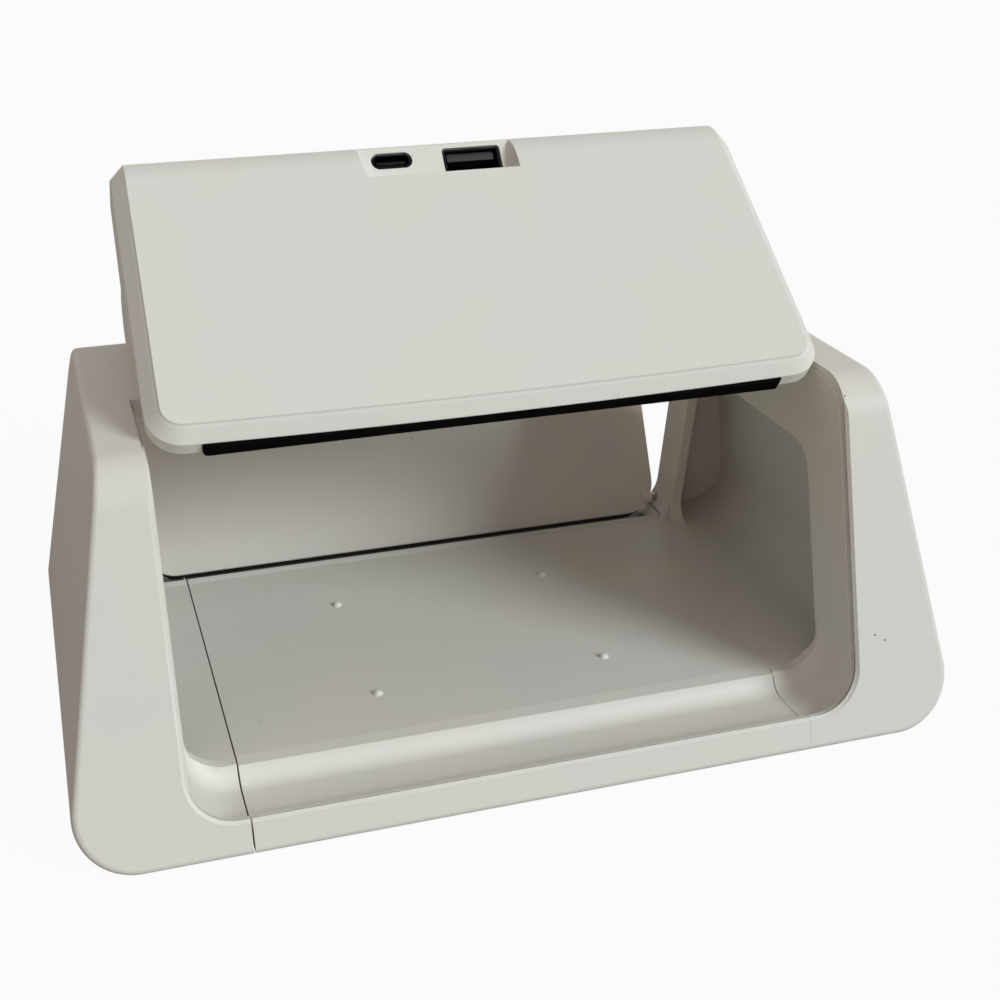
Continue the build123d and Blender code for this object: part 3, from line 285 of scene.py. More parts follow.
class Finish:
    """A material under construction: one Principled shader and what feeds it."""

    def __init__(self, name):
        self.material = bpy.data.materials.new(name)
        self.material.use_nodes = True
        self.tree = self.material.node_tree
        self.tree.nodes.clear()
        self.shader = self.tree.nodes.new("ShaderNodeBsdfPrincipled")
        output = self.tree.nodes.new("ShaderNodeOutputMaterial")
        self.tree.links.new(self.shader.outputs[0], output.inputs["Surface"])

    def node(self, kind, settings=None, values=None, output=0):
        """A node with its settings, then the values or links of its sockets; returns one of its outputs."""
        node = self.tree.nodes.new(kind)
        for name, value in (settings or {}).items():
            setattr(node, name, value)
        for key, value in (values or {}).items():
            if isinstance(value, Wire):
                self.tree.links.new(value.socket, node.inputs[key])
            else:
                node.inputs[key].default_value = value
        return Wire(self, node.outputs[output])

    def mix(self, first, second, factor):
        """Colour between two colours or links."""
        first = first if isinstance(first, Wire) else (*first, 1.0)
        second = second if isinstance(second, Wire) else (*second, 1.0)
        return self.node("ShaderNodeMix", {"data_type": "RGBA"}, {0: factor, 6: first, 7: second}, 2)

    def place(self, centre=(0, 0, 0), turn=(0, 0, 0), scale=(1, 1, 1)):
        """Object coordinates, centred, turned and scaled."""
        coordinates = self.node("ShaderNodeTexCoord", output=3)
        if (centre, turn, scale) == ((0, 0, 0), (0, 0, 0), (1, 1, 1)):
            return coordinates
        moved = self.node(
            "ShaderNodeMapping", {"vector_type": "POINT"},
            {"Vector": coordinates, "Location": [-value for value in centre]})
        return self.node(
            "ShaderNodeMapping", {"vector_type": "POINT"},
            {"Vector": moved, "Rotation": turn, "Scale": scale})

    def shut_place(self):
        """Coordinates from the hinge point on a piece of the hood, as they are with the hood shut."""
        return self.place(centre=HINGE_POINT, turn=(-SHUT_ANGLE, 0, 0))

    def axis(self, place, index):
        """One of the three numbers of a place."""
        return self.node("ShaderNodeSeparateXYZ", None, {0: place}, index)

    def noise(self, place, size, detail=2.0, rough=0.5):
        """Noise whose lumps are about size across."""
        return self.node(
            "ShaderNodeTexNoise", None,
            {"Vector": place, "Scale": 1.0 / size, "Detail": detail, "Roughness": rough})

    def cells(self, place, size, feature="F1", output=0):
        """Distance to scattered points, or their colours, about size apart."""
        return self.node(
            "ShaderNodeTexVoronoi", {"feature": feature}, {"Vector": place, "Scale": 1.0 / size}, output)

    def bump(self, height, depth, under=None):
        """Normal that a height from 0 to 1 gives."""
        values = {"Height": height, "Distance": depth, "Strength": 1.0}
        if under is not None:
            values["Normal"] = under
        return self.node("ShaderNodeBump", None, values)

    def feed(self, **values):
        """Values or links of the shader's own sockets, written with _ for each space."""
        for key, value in values.items():
            socket = self.shader.inputs[key.replace("_", " ")]
            if isinstance(value, Wire):
                self.tree.links.new(value.socket, socket)
            elif isinstance(value, tuple) and len(value) == 3 and socket.type == "RGBA":
                socket.default_value = (*value, 1.0)
            else:
                socket.default_value = value
        return self.material


def tinted(color, tint):
    """A colour times a tint."""
    return [value * factor for value, factor in zip(color, tint)]


def darker(color, share):
    """A colour at a share of its brightness."""
    return [value * share for value in color]


def channel_shadow(finish, place, base, settings):
    """Painted shadow: near black along the hinge channel behind the floor."""
    across = abs(finish.axis(place, 0))
    channel = (
        finish.axis(place, 1).between(CHANNEL_FRONT, CHANNEL_BACK)
        * finish.axis(place, 2).under(*CHANNEL_TOP) * across.under(*CHANNEL_END))
    return finish.mix(base, CHANNEL_SHADOW, channel * 0.95)


def base_shade_and_highlight(finish, place, base, settings):
    """Painted shadow in the hinge channel, painted shade in the groove behind the mouth's edge, and a painted
    highlight along that edge.
    """
    base = channel_shadow(finish, place, base, settings)
    across = abs(finish.axis(place, 0))
    height = finish.axis(place, 2)
    behind = finish.axis(place, 1) + FRONT_FOOT - height * FRONT_LEAN
    mouth = across.under(*MOUTH_SIDE) * height.between(MOUTH_FOOT, MOUTH_TOP)
    # A dark line of painted shade in the groove behind the mouth's edge.
    groove = behind.between((0.80 * MM, 1.0 * MM), (1.35 * MM, 1.6 * MM)) * mouth
    base = finish.mix(base, settings.grime_and_shade_color, groove * height.under(*GROOVE_TOP) * 0.28)
    # A pale line of painted highlight along the mouth's edge.
    mouth_highlight = behind.between((0.04 * MM, 0.10 * MM), (0.55 * MM, 0.75 * MM)) * mouth
    return finish.mix(base, EDGE_HIGHLIGHT, mouth_highlight * 0.45)


def cover_shade_and_highlight(finish, place, base, settings):
    """Fine lines of painted shade and painted highlight where the front cover's flat face turns into its
    bevel: dark nearest the face, pale a little further in.
    """
    shut = finish.shut_place()
    height = finish.axis(shut, 2) + HINGE_POINT.z
    behind = finish.axis(shut, 1) + (HINGE_POINT.y + FRONT_FOOT) - height * FRONT_LEAN
    below = height.under(*BEVEL_TOP)
    # A dark line of painted shade, then a pale line of painted highlight, along the bevel's edge.
    dark = behind.between((0.02 * MM, 0.06 * MM), (0.28 * MM, 0.38 * MM)) * below
    pale = behind.between((0.30 * MM, 0.40 * MM), (0.70 * MM, 0.95 * MM)) * below
    base = finish.mix(base, settings.grime_and_shade_color, dark * 0.20)
    return finish.mix(base, BEVEL_HIGHLIGHT, pale * 0.35)


def floor_ridge(finish, place):
    """Height of the low ridge along the back of the floor, as a share of its full height."""
    across = abs(finish.axis(place, 0))
    return (
        finish.axis(place, 1).over(*RIDGE_FRONT) * finish.axis(place, 2).under(*RIDGE_TOP)
        * across.under(*RIDGE_END))


def moulded_plastic(name, color, settings, specks=1.0, painted_light=None, relief=None):
    """Satin off-white moulding: fine grain, slow colour drift, dust and painted shade in corners, specks and
    hairlines, and any painted shade and highlights passed in.
    """
    finish = Finish(name)
    place = finish.place()
    drift = finish.noise(place, 55 * MM, 3.0, 0.55)
    patches = finish.noise(place, 12 * MM, 4.0, 0.6)
    grain = finish.noise(place, settings.grain_size, 3.0, 0.6)
    warm = tinted(color, (1.012, 0.995, 0.955))
    cool = tinted(color, (0.975, 0.985, 0.995))
    base = finish.mix(warm, cool, drift.over(0.3, 0.7))
    base = finish.mix(base, darker(color, 0.965), patches.over(0.45, 0.75) * 0.35)
    # Dust in inner corners and along seams, with painted shade: darker in patches where other surfaces lie
    # close.
    hollow = finish.node(
        "ShaderNodeAmbientOcclusion", {"samples": 4, "only_local": True}, {"Distance": 2.2 * MM}, 1)
    dust = hollow.under(0.25, 0.75) * finish.noise(place, 6 * MM, 4.0, 0.7).over(0.25, 0.7)
    base = finish.mix(base, settings.grime_and_shade_color, dust * 0.22)
    # Stray specks, and short hairline marks that lie in two directions.
    speck = finish.cells(place, 14 * MM).under(0.010, 0.016)
    long_way = finish.place(turn=(0.4, 0.9, 0.3), scale=(1.0, 1.0, 0.12))
    hair = finish.cells(long_way, 10.5 * MM).under(0.006, 0.011)
    cross_way = finish.place(turn=(1.3, 0.2, 1.1), scale=(0.10, 1.0, 1.0))
    scuff = finish.cells(cross_way, 13 * MM).under(0.005, 0.010)
    marks = (speck * 0.75 + hair * 0.22 + scuff * 0.2) * specks
    for dot in DOTS:
        dot_place = [value * MM for value in dot]
        gap = finish.node("ShaderNodeVectorMath", {"operation": "DISTANCE"}, {0: place, 1: dot_place}, 1)
        marks = marks + gap.under(*DOT_EDGE) * 0.8
    # Painted shade and highlights, where a part is given them.
    if painted_light is not None:
        base = painted_light(finish, place, base, settings)
    base = finish.mix(base, settings.grime_and_shade_color, marks)
    rough = settings.roughness + (drift - 0.5) * 0.10 + (patches - 0.5) * 0.10 + marks * 0.15 + dust * 0.2
    normal = finish.bump(grain, settings.grain_depth)
    normal = finish.bump(patches, 0.03 * MM, normal)
    if relief is not None:
        normal = finish.bump(relief(finish, place), RIDGE_HEIGHT, normal)
    return finish.feed(Base_Color=base, Roughness=rough, Normal=normal, IOR=1.5, Specular_IOR_Level=0.18)


def black_rubber(name):
    """Matt black rubber with a fine skin and pale dust."""
    finish = Finish(name)
    place = finish.place()
    skin = finish.noise(place, 0.4 * MM, 3.0, 0.65)
    bloom = finish.noise(place, 9 * MM, 4.0, 0.6)
    fluff = finish.cells(place, 2.8 * MM).under(0.03, 0.06)
    base = finish.mix((0.0022, 0.0022, 0.002), (0.005, 0.005, 0.0045), bloom.over(0.35, 0.75))
    base = finish.mix(base, (0.06, 0.058, 0.055), fluff * 0.25)
    return finish.feed(
        Base_Color=base, Roughness=0.72 + bloom * 0.22, Normal=finish.bump(skin, 0.05 * MM),
        Specular_IOR_Level=0.02)


def ribbed_rubber(name):
    """Black rubber of the anti-slip pad, with shallow moulded ribs."""
    finish = Finish(name)
    place = finish.place()
    rib = finish.axis(place, 0).wave(3.0 * MM).over(0.35, 0.65)
    skin = finish.noise(place, 0.5 * MM, 3.0, 0.65)
    dust = finish.noise(place, 13 * MM, 5.0, 0.65).over(0.45, 0.8)
    base = finish.mix((0.012, 0.012, 0.013), (0.075, 0.072, 0.068), dust * (1.0 - rib * 0.7) * 0.6)
    normal = finish.bump(skin, 0.06 * MM, finish.bump(rib, 0.25 * MM))
    return finish.feed(
        Base_Color=base, Roughness=0.6 + dust * 0.25, Normal=normal, Specular_IOR_Level=0.35)


def plated_steel(name, color, roughness, brush=(1.0, 1.0, 0.03)):
    """Plated steel with a drawn finish, faint stains and fine scratches."""
    finish = Finish(name)
    place = finish.place()
    drawn = finish.noise(finish.place(scale=brush), 0.25 * MM, 2.0, 0.6)
    stain = finish.noise(place, 3 * MM, 4.0, 0.6)
    slanted = finish.place(turn=(0.5, 0.2, 0.9), scale=(1.0, 0.06, 1.0))
    scratch = finish.cells(slanted, 0.9 * MM).under(0.03, 0.07)
    base = finish.mix(color, darker(color, 0.72), stain.over(0.4, 0.8) * 0.6)
    rough = roughness + (drawn - 0.5) * 0.16 + scratch * 0.18 + stain * 0.08
    return finish.feed(
        Base_Color=base, Metallic=1.0, Roughness=rough, Normal=finish.bump(drawn, 0.008 * MM))


def black_plastic(name):
    """Hard black plastic with a faint grain."""
    finish = Finish(name)
    place = finish.place()
    grain = finish.noise(place, 0.35 * MM, 3.0, 0.6)
    tone = finish.noise(place, 4 * MM, 3.0, 0.5)
    base = finish.mix((0.005, 0.005, 0.0055), (0.010, 0.010, 0.0105), tone.over(0.3, 0.7))
    return finish.feed(Base_Color=base, Roughness=0.38 + grain * 0.18, Normal=finish.bump(grain, 0.01 * MM))


def circuit_board(name):
    """Green solder mask over copper tracks and plated holes, which lie along the hood."""
    finish = Finish(name)
    place = finish.shut_place()
    across = finish.axis(place, 0)
    along = finish.axis(place, 1)
    zones = finish.cells(place, 8 * MM, output=1)
    choice = finish.axis(zones, 0)
    tracks = finish.mix((0, 0, 0), (1, 1, 1), choice > 0.5)
    tracks = (across.wave(1.1 * MM) > 0.72) * (1.0 - finish.axis(tracks, 0)) + (
        along.wave(1.1 * MM) > 0.72) * finish.axis(tracks, 0)
    tracks = tracks * (finish.axis(zones, 1) > 0.35)
    holes = finish.cells(place, 3.6 * MM)
    ring = holes.under(0.12, 0.13)
    bore = holes.under(0.05, 0.06)
    base = finish.mix((0.008, 0.075, 0.030), (0.022, 0.150, 0.060), tracks)
    base = finish.mix(base, (0.72, 0.60, 0.40), ring)
    base = finish.mix(base, (0.010, 0.010, 0.010), bore)
    skin = finish.noise(place, 0.6 * MM, 3.0, 0.6)
    metal = ring * (1.0 - bore)
    return finish.feed(
        Base_Color=base, Metallic=metal * 0.9, Roughness=0.30 + skin * 0.15 - metal * 0.05,
        Normal=finish.bump(tracks + ring * 0.6, 0.035 * MM), Coat_Weight=0.15)


def enamelled_wire(name, color):
    """Copper wire under clear enamel, a little darker where it was heated."""
    finish = Finish(name)
    place = finish.place()
    heat = finish.noise(place, 7 * MM, 3.0, 0.6)
    drawn = finish.noise(place, 0.5 * MM, 2.0, 0.5)
    base = finish.mix(color, tinted(color, (0.62, 0.5, 0.5)), heat.over(0.4, 0.8))
    return finish.feed(
        Base_Color=base, Metallic=0.85, Roughness=0.26 + heat * 0.14, Coat_Weight=0.5,
        Normal=finish.bump(drawn, 0.01 * MM))


def ferrite(name):
    """Dark grey ferrite sheet under clear film, with fine crack lines and a slight sparkle."""
    finish = Finish(name)
    place = finish.place()
    cracks = finish.cells(place, 3.5 * MM, "DISTANCE_TO_EDGE").under(0.01, 0.03)
    sparkle = finish.axis(finish.cells(place, 0.3 * MM, output=1), 0)
    base = finish.mix((0.035, 0.035, 0.038), (0.085, 0.085, 0.09), sparkle)
    base = finish.mix(base, (0.018, 0.018, 0.019), cracks * 0.7)
    return finish.feed(
        Base_Color=base, Roughness=0.36 + sparkle * 0.2, Coat_Weight=0.3,
        Normal=finish.bump(1.0 - cracks, 0.03 * MM))


def led_ceramic(name, pale=(0.82, 0.81, 0.77), dark=(0.62, 0.60, 0.55)):
    """Fired ceramic of the lamps and small capacitors, slightly speckled."""
    finish = Finish(name)
    place = finish.place()
    speckle = finish.noise(place, 0.3 * MM, 4.0, 0.7)
    tone = finish.noise(place, 1.8 * MM, 3.0, 0.6)
    base = finish.mix(pale, dark, speckle.over(0.55, 0.8) * 0.5 + tone * 0.15)
    return finish.feed(Base_Color=base, Roughness=0.35 + tone * 0.2, Normal=finish.bump(speckle, 0.01 * MM))


def quartz(name):
    """Clear quartz with faint wipe marks."""
    finish = Finish(name)
    wipe = finish.noise(finish.place(turn=(0, 0, 0.5), scale=(0.2, 1.0, 1.0)), 4 * MM, 3.0, 0.6)
    return finish.feed(
        Base_Color=(0.93, 0.96, 0.98), Roughness=0.03 + wipe.over(0.4, 0.8) * 0.12, IOR=1.46,
        Transmission_Weight=0.92, Normal=finish.bump(wipe, 0.004 * MM))


def light_pipe(name):
    """Milky light guide with a little cloudiness."""
    finish = Finish(name)
    cloud = finish.noise(finish.place(), 1.1 * MM, 3.0, 0.6)
    base = finish.mix((0.80, 0.86, 0.92), (0.64, 0.72, 0.80), cloud.over(0.35, 0.7))
    return finish.feed(
        Base_Color=base, Roughness=0.28 + cloud * 0.12, Transmission_Weight=0.35,
        Normal=finish.bump(cloud, 0.01 * MM))


def black_chip(name):
    """Moulded black package of an electronic part, with a sandy top."""
    finish = Finish(name)
    sand = finish.noise(finish.place(), 0.22 * MM, 4.0, 0.7)
    base = finish.mix((0.020, 0.020, 0.021), (0.045, 0.045, 0.046), sand.over(0.35, 0.75))
    return finish.feed(Base_Color=base, Roughness=0.55 + sand * 0.15, Normal=finish.bump(sand, 0.02 * MM))


def dress(nodes, material):
    """Give CAD nodes their finish."""
    for node in nodes:
        mesh = frame["nodes"][node].data
        mesh.materials.clear()
        mesh.materials.append(material)


# --- Modelling helpers --------------------------------------------------------------------------------


def clear_selection():
    if bpy.context.object is not None and bpy.context.object.mode != "OBJECT":
        bpy.ops.object.mode_set(mode="OBJECT")
    bpy.ops.object.select_all(action="DESELECT")


def select_only(*pieces):
    """Select these pieces and nothing else, with the first one active."""
    clear_selection()
    for piece in pieces:
        piece.select_set(True)
    bpy.context.view_layer.objects.active = pieces[0]


def joined(*pieces):
    """Join pieces into the first."""
    select_only(*pieces)
    bpy.ops.object.join()
    return pieces[0]


def smooth(piece, degrees):
    """Shade a piece smooth, apart from its edges sharper than an angle."""
    select_only(piece)
    bpy.ops.object.shade_smooth_by_angle(angle=radians(degrees))


def add_block(name, centre, size):
    """Block at its size and place, in metres, ready for shaping."""
    clear_selection()
    bpy.ops.mesh.primitive_cube_add(size=1.0, location=centre)
    block = bpy.context.object
    block.name = name
    block.scale = size
    bpy.ops.object.transform_apply(location=True, rotation=True, scale=True)
    return block


def pick_faces(piece, keep):
    """Enter edit mode with only the faces that keep(centre, normal) picks selected."""
    select_only(piece)
    bpy.ops.object.mode_set(mode="EDIT")
    bpy.ops.mesh.select_mode(type="FACE")
    bpy.ops.mesh.select_all(action="DESELECT")
    bpy.ops.object.mode_set(mode="OBJECT")
    for face in piece.data.polygons:
        face.select = keep(face.center, face.normal)
    bpy.ops.object.mode_set(mode="EDIT")


def finish_bevel(piece, width, segments=2):
    """Round a finished piece's edges."""
    select_only(piece)
    modifier = piece.modifiers.new("Edges", "BEVEL")
    modifier.width = width
    modifier.segments = segments
    modifier.limit_method = "ANGLE"
    bpy.ops.object.modifier_apply(modifier=modifier.name)
    smooth(piece, 40)


def copy_moved(piece, move):
    """A copy of a piece with its own mesh, moved by a matrix."""
    twin = piece.copy()
    twin.data = piece.data.copy()
    twin.data.transform(move)
    bpy.context.collection.objects.link(twin)
    return twin


def add_copies(piece, steps):
    """Join a piece with copies of itself, each moved by a step."""
    return joined(piece, *[copy_moved(piece, Matrix.Translation(step)) for step in steps])


def front_end(piece):
    """Test for the faces at a piece's front end."""
    limit = min(face.center.y for face in piece.data.polygons) + 0.01 * MM
    return lambda centre, normal: centre.y < limit


def rear_end(piece):
    """Test for the faces at a piece's rear end."""
    limit = max(face.center.y for face in piece.data.polygons) - 0.01 * MM
    return lambda centre, normal: centre.y > limit


def raise_top(piece, rim, rise):
    """Raise the middle of a block's top by an inset."""
    pick_faces(piece, lambda centre, normal: normal.z > 0.9)
    bpy.ops.mesh.inset(thickness=rim, depth=0.0)
    bpy.ops.transform.translate(value=(0, 0, rise))
    bpy.ops.object.mode_set(mode="OBJECT")


def move_faces(piece, keep, step, extrude=False):
    """Move the picked faces, or draw new walls out of them."""
    pick_faces(piece, keep)
    if extrude:
        bpy.ops.mesh.extrude_region_move(TRANSFORM_OT_translate={"value": step})
    else:
        bpy.ops.transform.translate(value=step)
    bpy.ops.object.mode_set(mode="OBJECT")


def mount_on_hood(piece, material):
    """Turn a piece drawn on the shut hood to the open one, and let it ride there."""
    piece.data.transform(OPENED)
    piece.data.update()
    piece.data.materials.clear()
    piece.data.materials.append(material)
    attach(piece, "hood")
    return piece


# --- Operators ----------------------------------------------------------------------------------------


class SANITIZER_OT_mouldings(bpy.types.Operator):
    """Finish the off-white mouldings of the base and hood"""

    bl_idname = "sanitizer.mouldings"
    bl_label = "Mouldings"

    def execute(self, context):
        settings = context.scene.sanitizer_box.plastic
        color = settings.shell_color
        shell = moulded_plastic("shell plastic", color, settings)
        inner = moulded_plastic("inner plastic", settings.inner_color, settings, 0.6)
        base = moulded_plastic(
            "base plastic", tinted(color, BASE_TINT), settings, painted_light=base_shade_and_highlight, relief=floor_ridge)
        cover = moulded_plastic("cover plastic", color, settings, painted_light=cover_shade_and_highlight)
        panel = moulded_plastic("panel plastic", tinted(color, PANEL_SHADE_TINT), settings, painted_light=channel_shadow)
        dress(["left_side_pod", "right_side_pod", "floor_bridge"], base)
        dress(["front_cover"], cover)
        dress(["back_panel"], panel)
        dress(["top_cover", "start_button"], shell)
        dress(["front_liner", "inner_shell", "base_plate"], inner)
        return {"FINISHED"}


class SANITIZER_OT_rubber(bpy.types.Operator):
    """Finish the closing seal and the anti-slip pad"""

    bl_idname = "sanitizer.rubber"
    bl_label = "Rubber"

    def execute(self, context):
        dress(["closing_seal"], black_rubber("seal rubber"))
        dress(["anti_slip_pad"], ribbed_rubber("pad rubber"))
        return {"FINISHED"}


class SANITIZER_OT_hardware(bpy.types.Operator):
    """Finish the screws, hinge pins, magnet and sensor"""

    bl_idname = "sanitizer.hardware"
    bl_label = "Hardware"

    def execute(self, context):
        steel = plated_steel("zinc-plated steel", (0.56, 0.56, 0.55), 0.32)
        dress([node for node in frame["nodes"] if "screw" in node], steel)
        # Painted shade: the hinge pins' steel is darker and browner than the screws', for the dark corner
        # they sit in.
        dress(["hinge_pin_left", "hinge_pin_right"],
              plated_steel("drawn steel", (0.34, 0.31, 0.29), 0.34, (0.03, 1.0, 1.0)))
        dress(["interlock_magnet"], plated_steel("nickel", (0.66, 0.63, 0.58), 0.18, (1.0, 1.0, 1.0)))
        dress(["interlock_sensor", "tact_switch"], black_plastic("sensor plastic"))
        return {"FINISHED"}


def fill_wide_socket(settings, gold, steel):
    """Four contact strips on the tongue and two springs below it."""
    strip = add_block("usb_a_contacts", WIDE_CONTACT, (settings.strip_width, settings.strip_length, 0.2 * MM))
    move_faces(strip, front_end(strip), (0, -0.7 * MM, 0.16 * MM), True)
    finish_bevel(strip, 0.05 * MM)
    add_copies(strip, [Vector((step, 0, 0)) * MM for step in (2.5, 4.5, 7.0)])
    mount_on_hood(strip, gold)

    spring = add_block("usb_a_springs", WIDE_SPRING, (2.2 * MM, 5.6 * MM, 0.2 * MM))
    rear = rear_end(spring)
    move_faces(spring, rear, (0, 0, 0.75 * MM))
    move_faces(spring, rear, (0, 1.0 * MM, -0.45 * MM), True)
    finish_bevel(spring, 0.05 * MM)
    add_copies(spring, [Vector((6.2, 0, 0)) * MM])
    # The springs take the socket shell's finish: steel painted near black, painted shade of the socket's
    # inside.
    mount_on_hood(spring, steel)


def fill_small_socket(settings, gold):
    """A row of contacts above the tongue and one below it."""
    first = SMALL_CONTACTS - Vector(((SMALL_ROW - 1) / 2, 0, 0)) * settings.pad_pitch
    pad = add_block("usb_c_contacts", first, (0.25 * MM, 3.0 * MM, 0.06 * MM))
    move_faces(pad, front_end(pad), (0, -0.35 * MM, -0.025 * MM), True)
    finish_bevel(pad, 0.012 * MM, 1)
    steps = [Vector((number * settings.pad_pitch, 0, -drop))
             for drop in (0.0, SMALL_ROW_DROP) for number in range(SMALL_ROW)]
    add_copies(pad, steps[1:])
    mount_on_hood(pad, gold)


class SANITIZER_OT_sockets(bpy.types.Operator):
    """Finish the two charging sockets and put in their contacts and springs"""

    bl_idname = "sanitizer.sockets"
    bl_label = "Charging Sockets"

    def execute(self, context):
        settings = context.scene.sanitizer_box.sockets
        # Painted shade: the socket shell, and the springs that share its finish, are steel painted near black
        # for the dark inside of the sockets.
        shell = plated_steel("socket shell", (0.013, 0.013, 0.014), 0.55, (1.0, 0.05, 1.0))
        gold = plated_steel("contact plating", settings.gold_color, 0.24, (1.0, 0.05, 1.0))
        dress(["usb_c_socket", "usb_a_shell"], shell)
        dress(["usb_a_tongue"], black_plastic("tongue plastic"))
        fill_wide_socket(settings, gold, shell)
        fill_small_socket(settings, gold)
        return {"FINISHED"}


def wind_coil(settings, material):
    """Turns of the charging coil, each stepping out to the next, and its two leads to the board."""
    pitch = settings.wire * 1.03
    count = int((COIL_OUTER - COIL_INNER) / pitch)
    rise = (COIL_HEIGHT - settings.wire) / max(settings.layers - 1, 1)
    centre = COIL_FOOT + Vector((0, 0, settings.wire / 2))
    turns = []
    for layer in range(settings.layers):
        for number in range(count):
            clear_selection()
            radius = COIL_INNER + pitch * (number + 0.5)
            bpy.ops.mesh.primitive_torus_add(
                location=centre + Vector((0, 0, rise * layer)), major_radius=radius,
                minor_radius=settings.wire / 2, major_segments=72, minor_segments=10)
            turn = bpy.context.object
            bpy.ops.object.transform_apply(location=True, rotation=True, scale=True)
            move_faces(turn, lambda place, normal: place.y < 0 and abs(place.x) < radius * 0.12,
                       (0, -pitch * 0.35, 0))
            turns.append(turn)
    lead = add_block("coil_lead", COIL_LEAD, (settings.wire, 5.0 * MM, settings.wire))
    front = front_end(lead)
    move_faces(lead, front, (0, -settings.wire, 0), True)
    move_faces(lead, lambda place, normal: front(place, normal) and normal.z < -0.9, (0, 0, -4.3 * MM), True)
    finish_bevel(lead, settings.wire * 0.3, 4)
    add_copies(lead, [Vector((12.0, 0, 0)) * MM])
    coil = joined(*turns, lead)
    coil.name = "wound_coil"
    smooth(coil, 50)
    mount_on_hood(coil, material)
    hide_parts("charging_coil")


def add_lenses(material):
    """Low quartz lens in the cup of each lamp."""
    clear_selection()
    bpy.ops.mesh.primitive_uv_sphere_add(segments=28, ring_count=14, radius=1.2 * MM, location=FIRST_LAMP)
    lens = bpy.context.object
    lens.name = "lamp_lenses"
    lens.scale.z = 0.62
    bpy.ops.object.transform_apply(location=True, rotation=True, scale=True)
    pick_faces(lens, lambda centre, normal: centre.z > FIRST_LAMP.z)
    bpy.ops.mesh.delete(type="FACE")
    bpy.ops.mesh.select_mode(type="EDGE")
    bpy.ops.mesh.select_non_manifold()
    bpy.ops.mesh.edge_face_add()
    bpy.ops.object.mode_set(mode="OBJECT")
    smooth(lens, 50)
    add_copies(lens, [Vector((LAMP_PITCH * number, 0, 0)) for number in range(1, LAMP_COUNT)])
    mount_on_hood(lens, material)


def on_board(x, y, height):
    """Place over the main board, from numbers in mm."""
    return Vector((x, y, BOARD_TOP + height)) * MM


def add_packages(material):
    """The two controller packages, each with a slightly raised top."""
    package = add_block("controller_packages", on_board(*PACKAGE, 0.88), (7.3 * MM, 6.3 * MM, 1.76 * MM))
    raise_top(package, 0.35 * MM, 0.14 * MM)
    finish_bevel(package, 0.08 * MM)
    add_copies(package, [Vector((0, PACKAGE_PITCH, 0)) * MM])
    mount_on_hood(package, material)


def add_choke(material):
    """The converter's choke."""
    choke = add_block("converter_choke", on_board(24.0, -12.2, 1.0), (5.4 * MM, 5.4 * MM, 2.0 * MM))
    raise_top(choke, 0.7 * MM, 0.25 * MM)
    finish_bevel(choke, 0.35 * MM, 3)
    mount_on_hood(choke, material)


def add_legs(material):
    """Bent legs down both sides of the two packages."""
    leg = add_block("package_legs", on_board(-36.0, -26.6, 0.42), (0.9 * MM, 0.36 * MM, 0.18 * MM))
    move_faces(leg, lambda centre, normal: normal.x < -0.9, (-0.45 * MM, 0, -0.28 * MM), True)
    move_faces(
        leg, lambda centre, normal: normal.x < -0.5 and centre.x < -36.5 * MM, (-0.55 * MM, 0, 0), True)
    finish_bevel(leg, 0.04 * MM)
    steps = [Vector((0, start + number * LEG_PITCH, 0)) * MM
             for start in (0.0, PACKAGE_PITCH) for number in range(LEG_COUNT)]
    add_copies(leg, steps[1:])
    mirror = Matrix.Translation(Vector((2 * PACKAGE[0], 0, 0)) * MM) @ Matrix.Diagonal((-1, 1, 1, 1))
    other_side = copy_moved(leg, mirror)
    other_side.data.flip_normals()
    joined(leg, other_side)
    mount_on_hood(leg, material)


def add_capacitors(ceramic, tin):
    """Small capacitors with their tinned ends."""
    x, y = CAPACITORS[0]
    steps = [Vector((across - x, along - y, 0)) * MM for across, along in CAPACITORS[1:]]
    body = add_block("chip_capacitors", on_board(x, y, 0.45), (1.3 * MM, 1.2 * MM, 0.88 * MM))
    finish_bevel(body, 0.06 * MM)
    add_copies(body, steps)
    mount_on_hood(body, ceramic)
    end = add_block("capacitor_ends", on_board(x - 0.85, y, 0.46), (0.5 * MM, 1.26 * MM, 0.94 * MM))
    finish_bevel(end, 0.1 * MM, 3)
    add_copies(end, [Vector((1.7, 0, 0)) * MM])
    add_copies(end, steps)
    mount_on_hood(end, tin)


class SANITIZER_OT_electronics(bpy.types.Operator):
    """Finish the boards, lamps, window, coil and light guide inside the hood"""

    bl_idname = "sanitizer.electronics"
    bl_label = "Electronics"

    def execute(self, context):
        settings = context.scene.sanitizer_box.coil
        dress(["main_board", "uv_board"], circuit_board("circuit board"))
        wire = enamelled_wire("coil wire", settings.wire_color)
        dress(["charging_coil"], wire)
        wind_coil(settings, wire)
        dress(["ferrite_sheet"], ferrite("ferrite"))
        dress([f"uv_led_{number}" for number in range(1, 5)], led_ceramic("lamp ceramic"))
        glass = quartz("quartz")
        dress(["uv_window"], glass)
        add_lenses(glass)
        chip = black_chip("chip package")
        tin = plated_steel("tinned ends", (0.62, 0.61, 0.59), 0.34)
        add_packages(chip)
        add_choke(ferrite("choke ferrite"))
        add_legs(tin)
        add_capacitors(led_ceramic("capacitor ceramic", (0.43, 0.33, 0.22), (0.33, 0.25, 0.16)), tin)
        dress(["status_light"], light_pipe("light guide"))
        return {"FINISHED"}


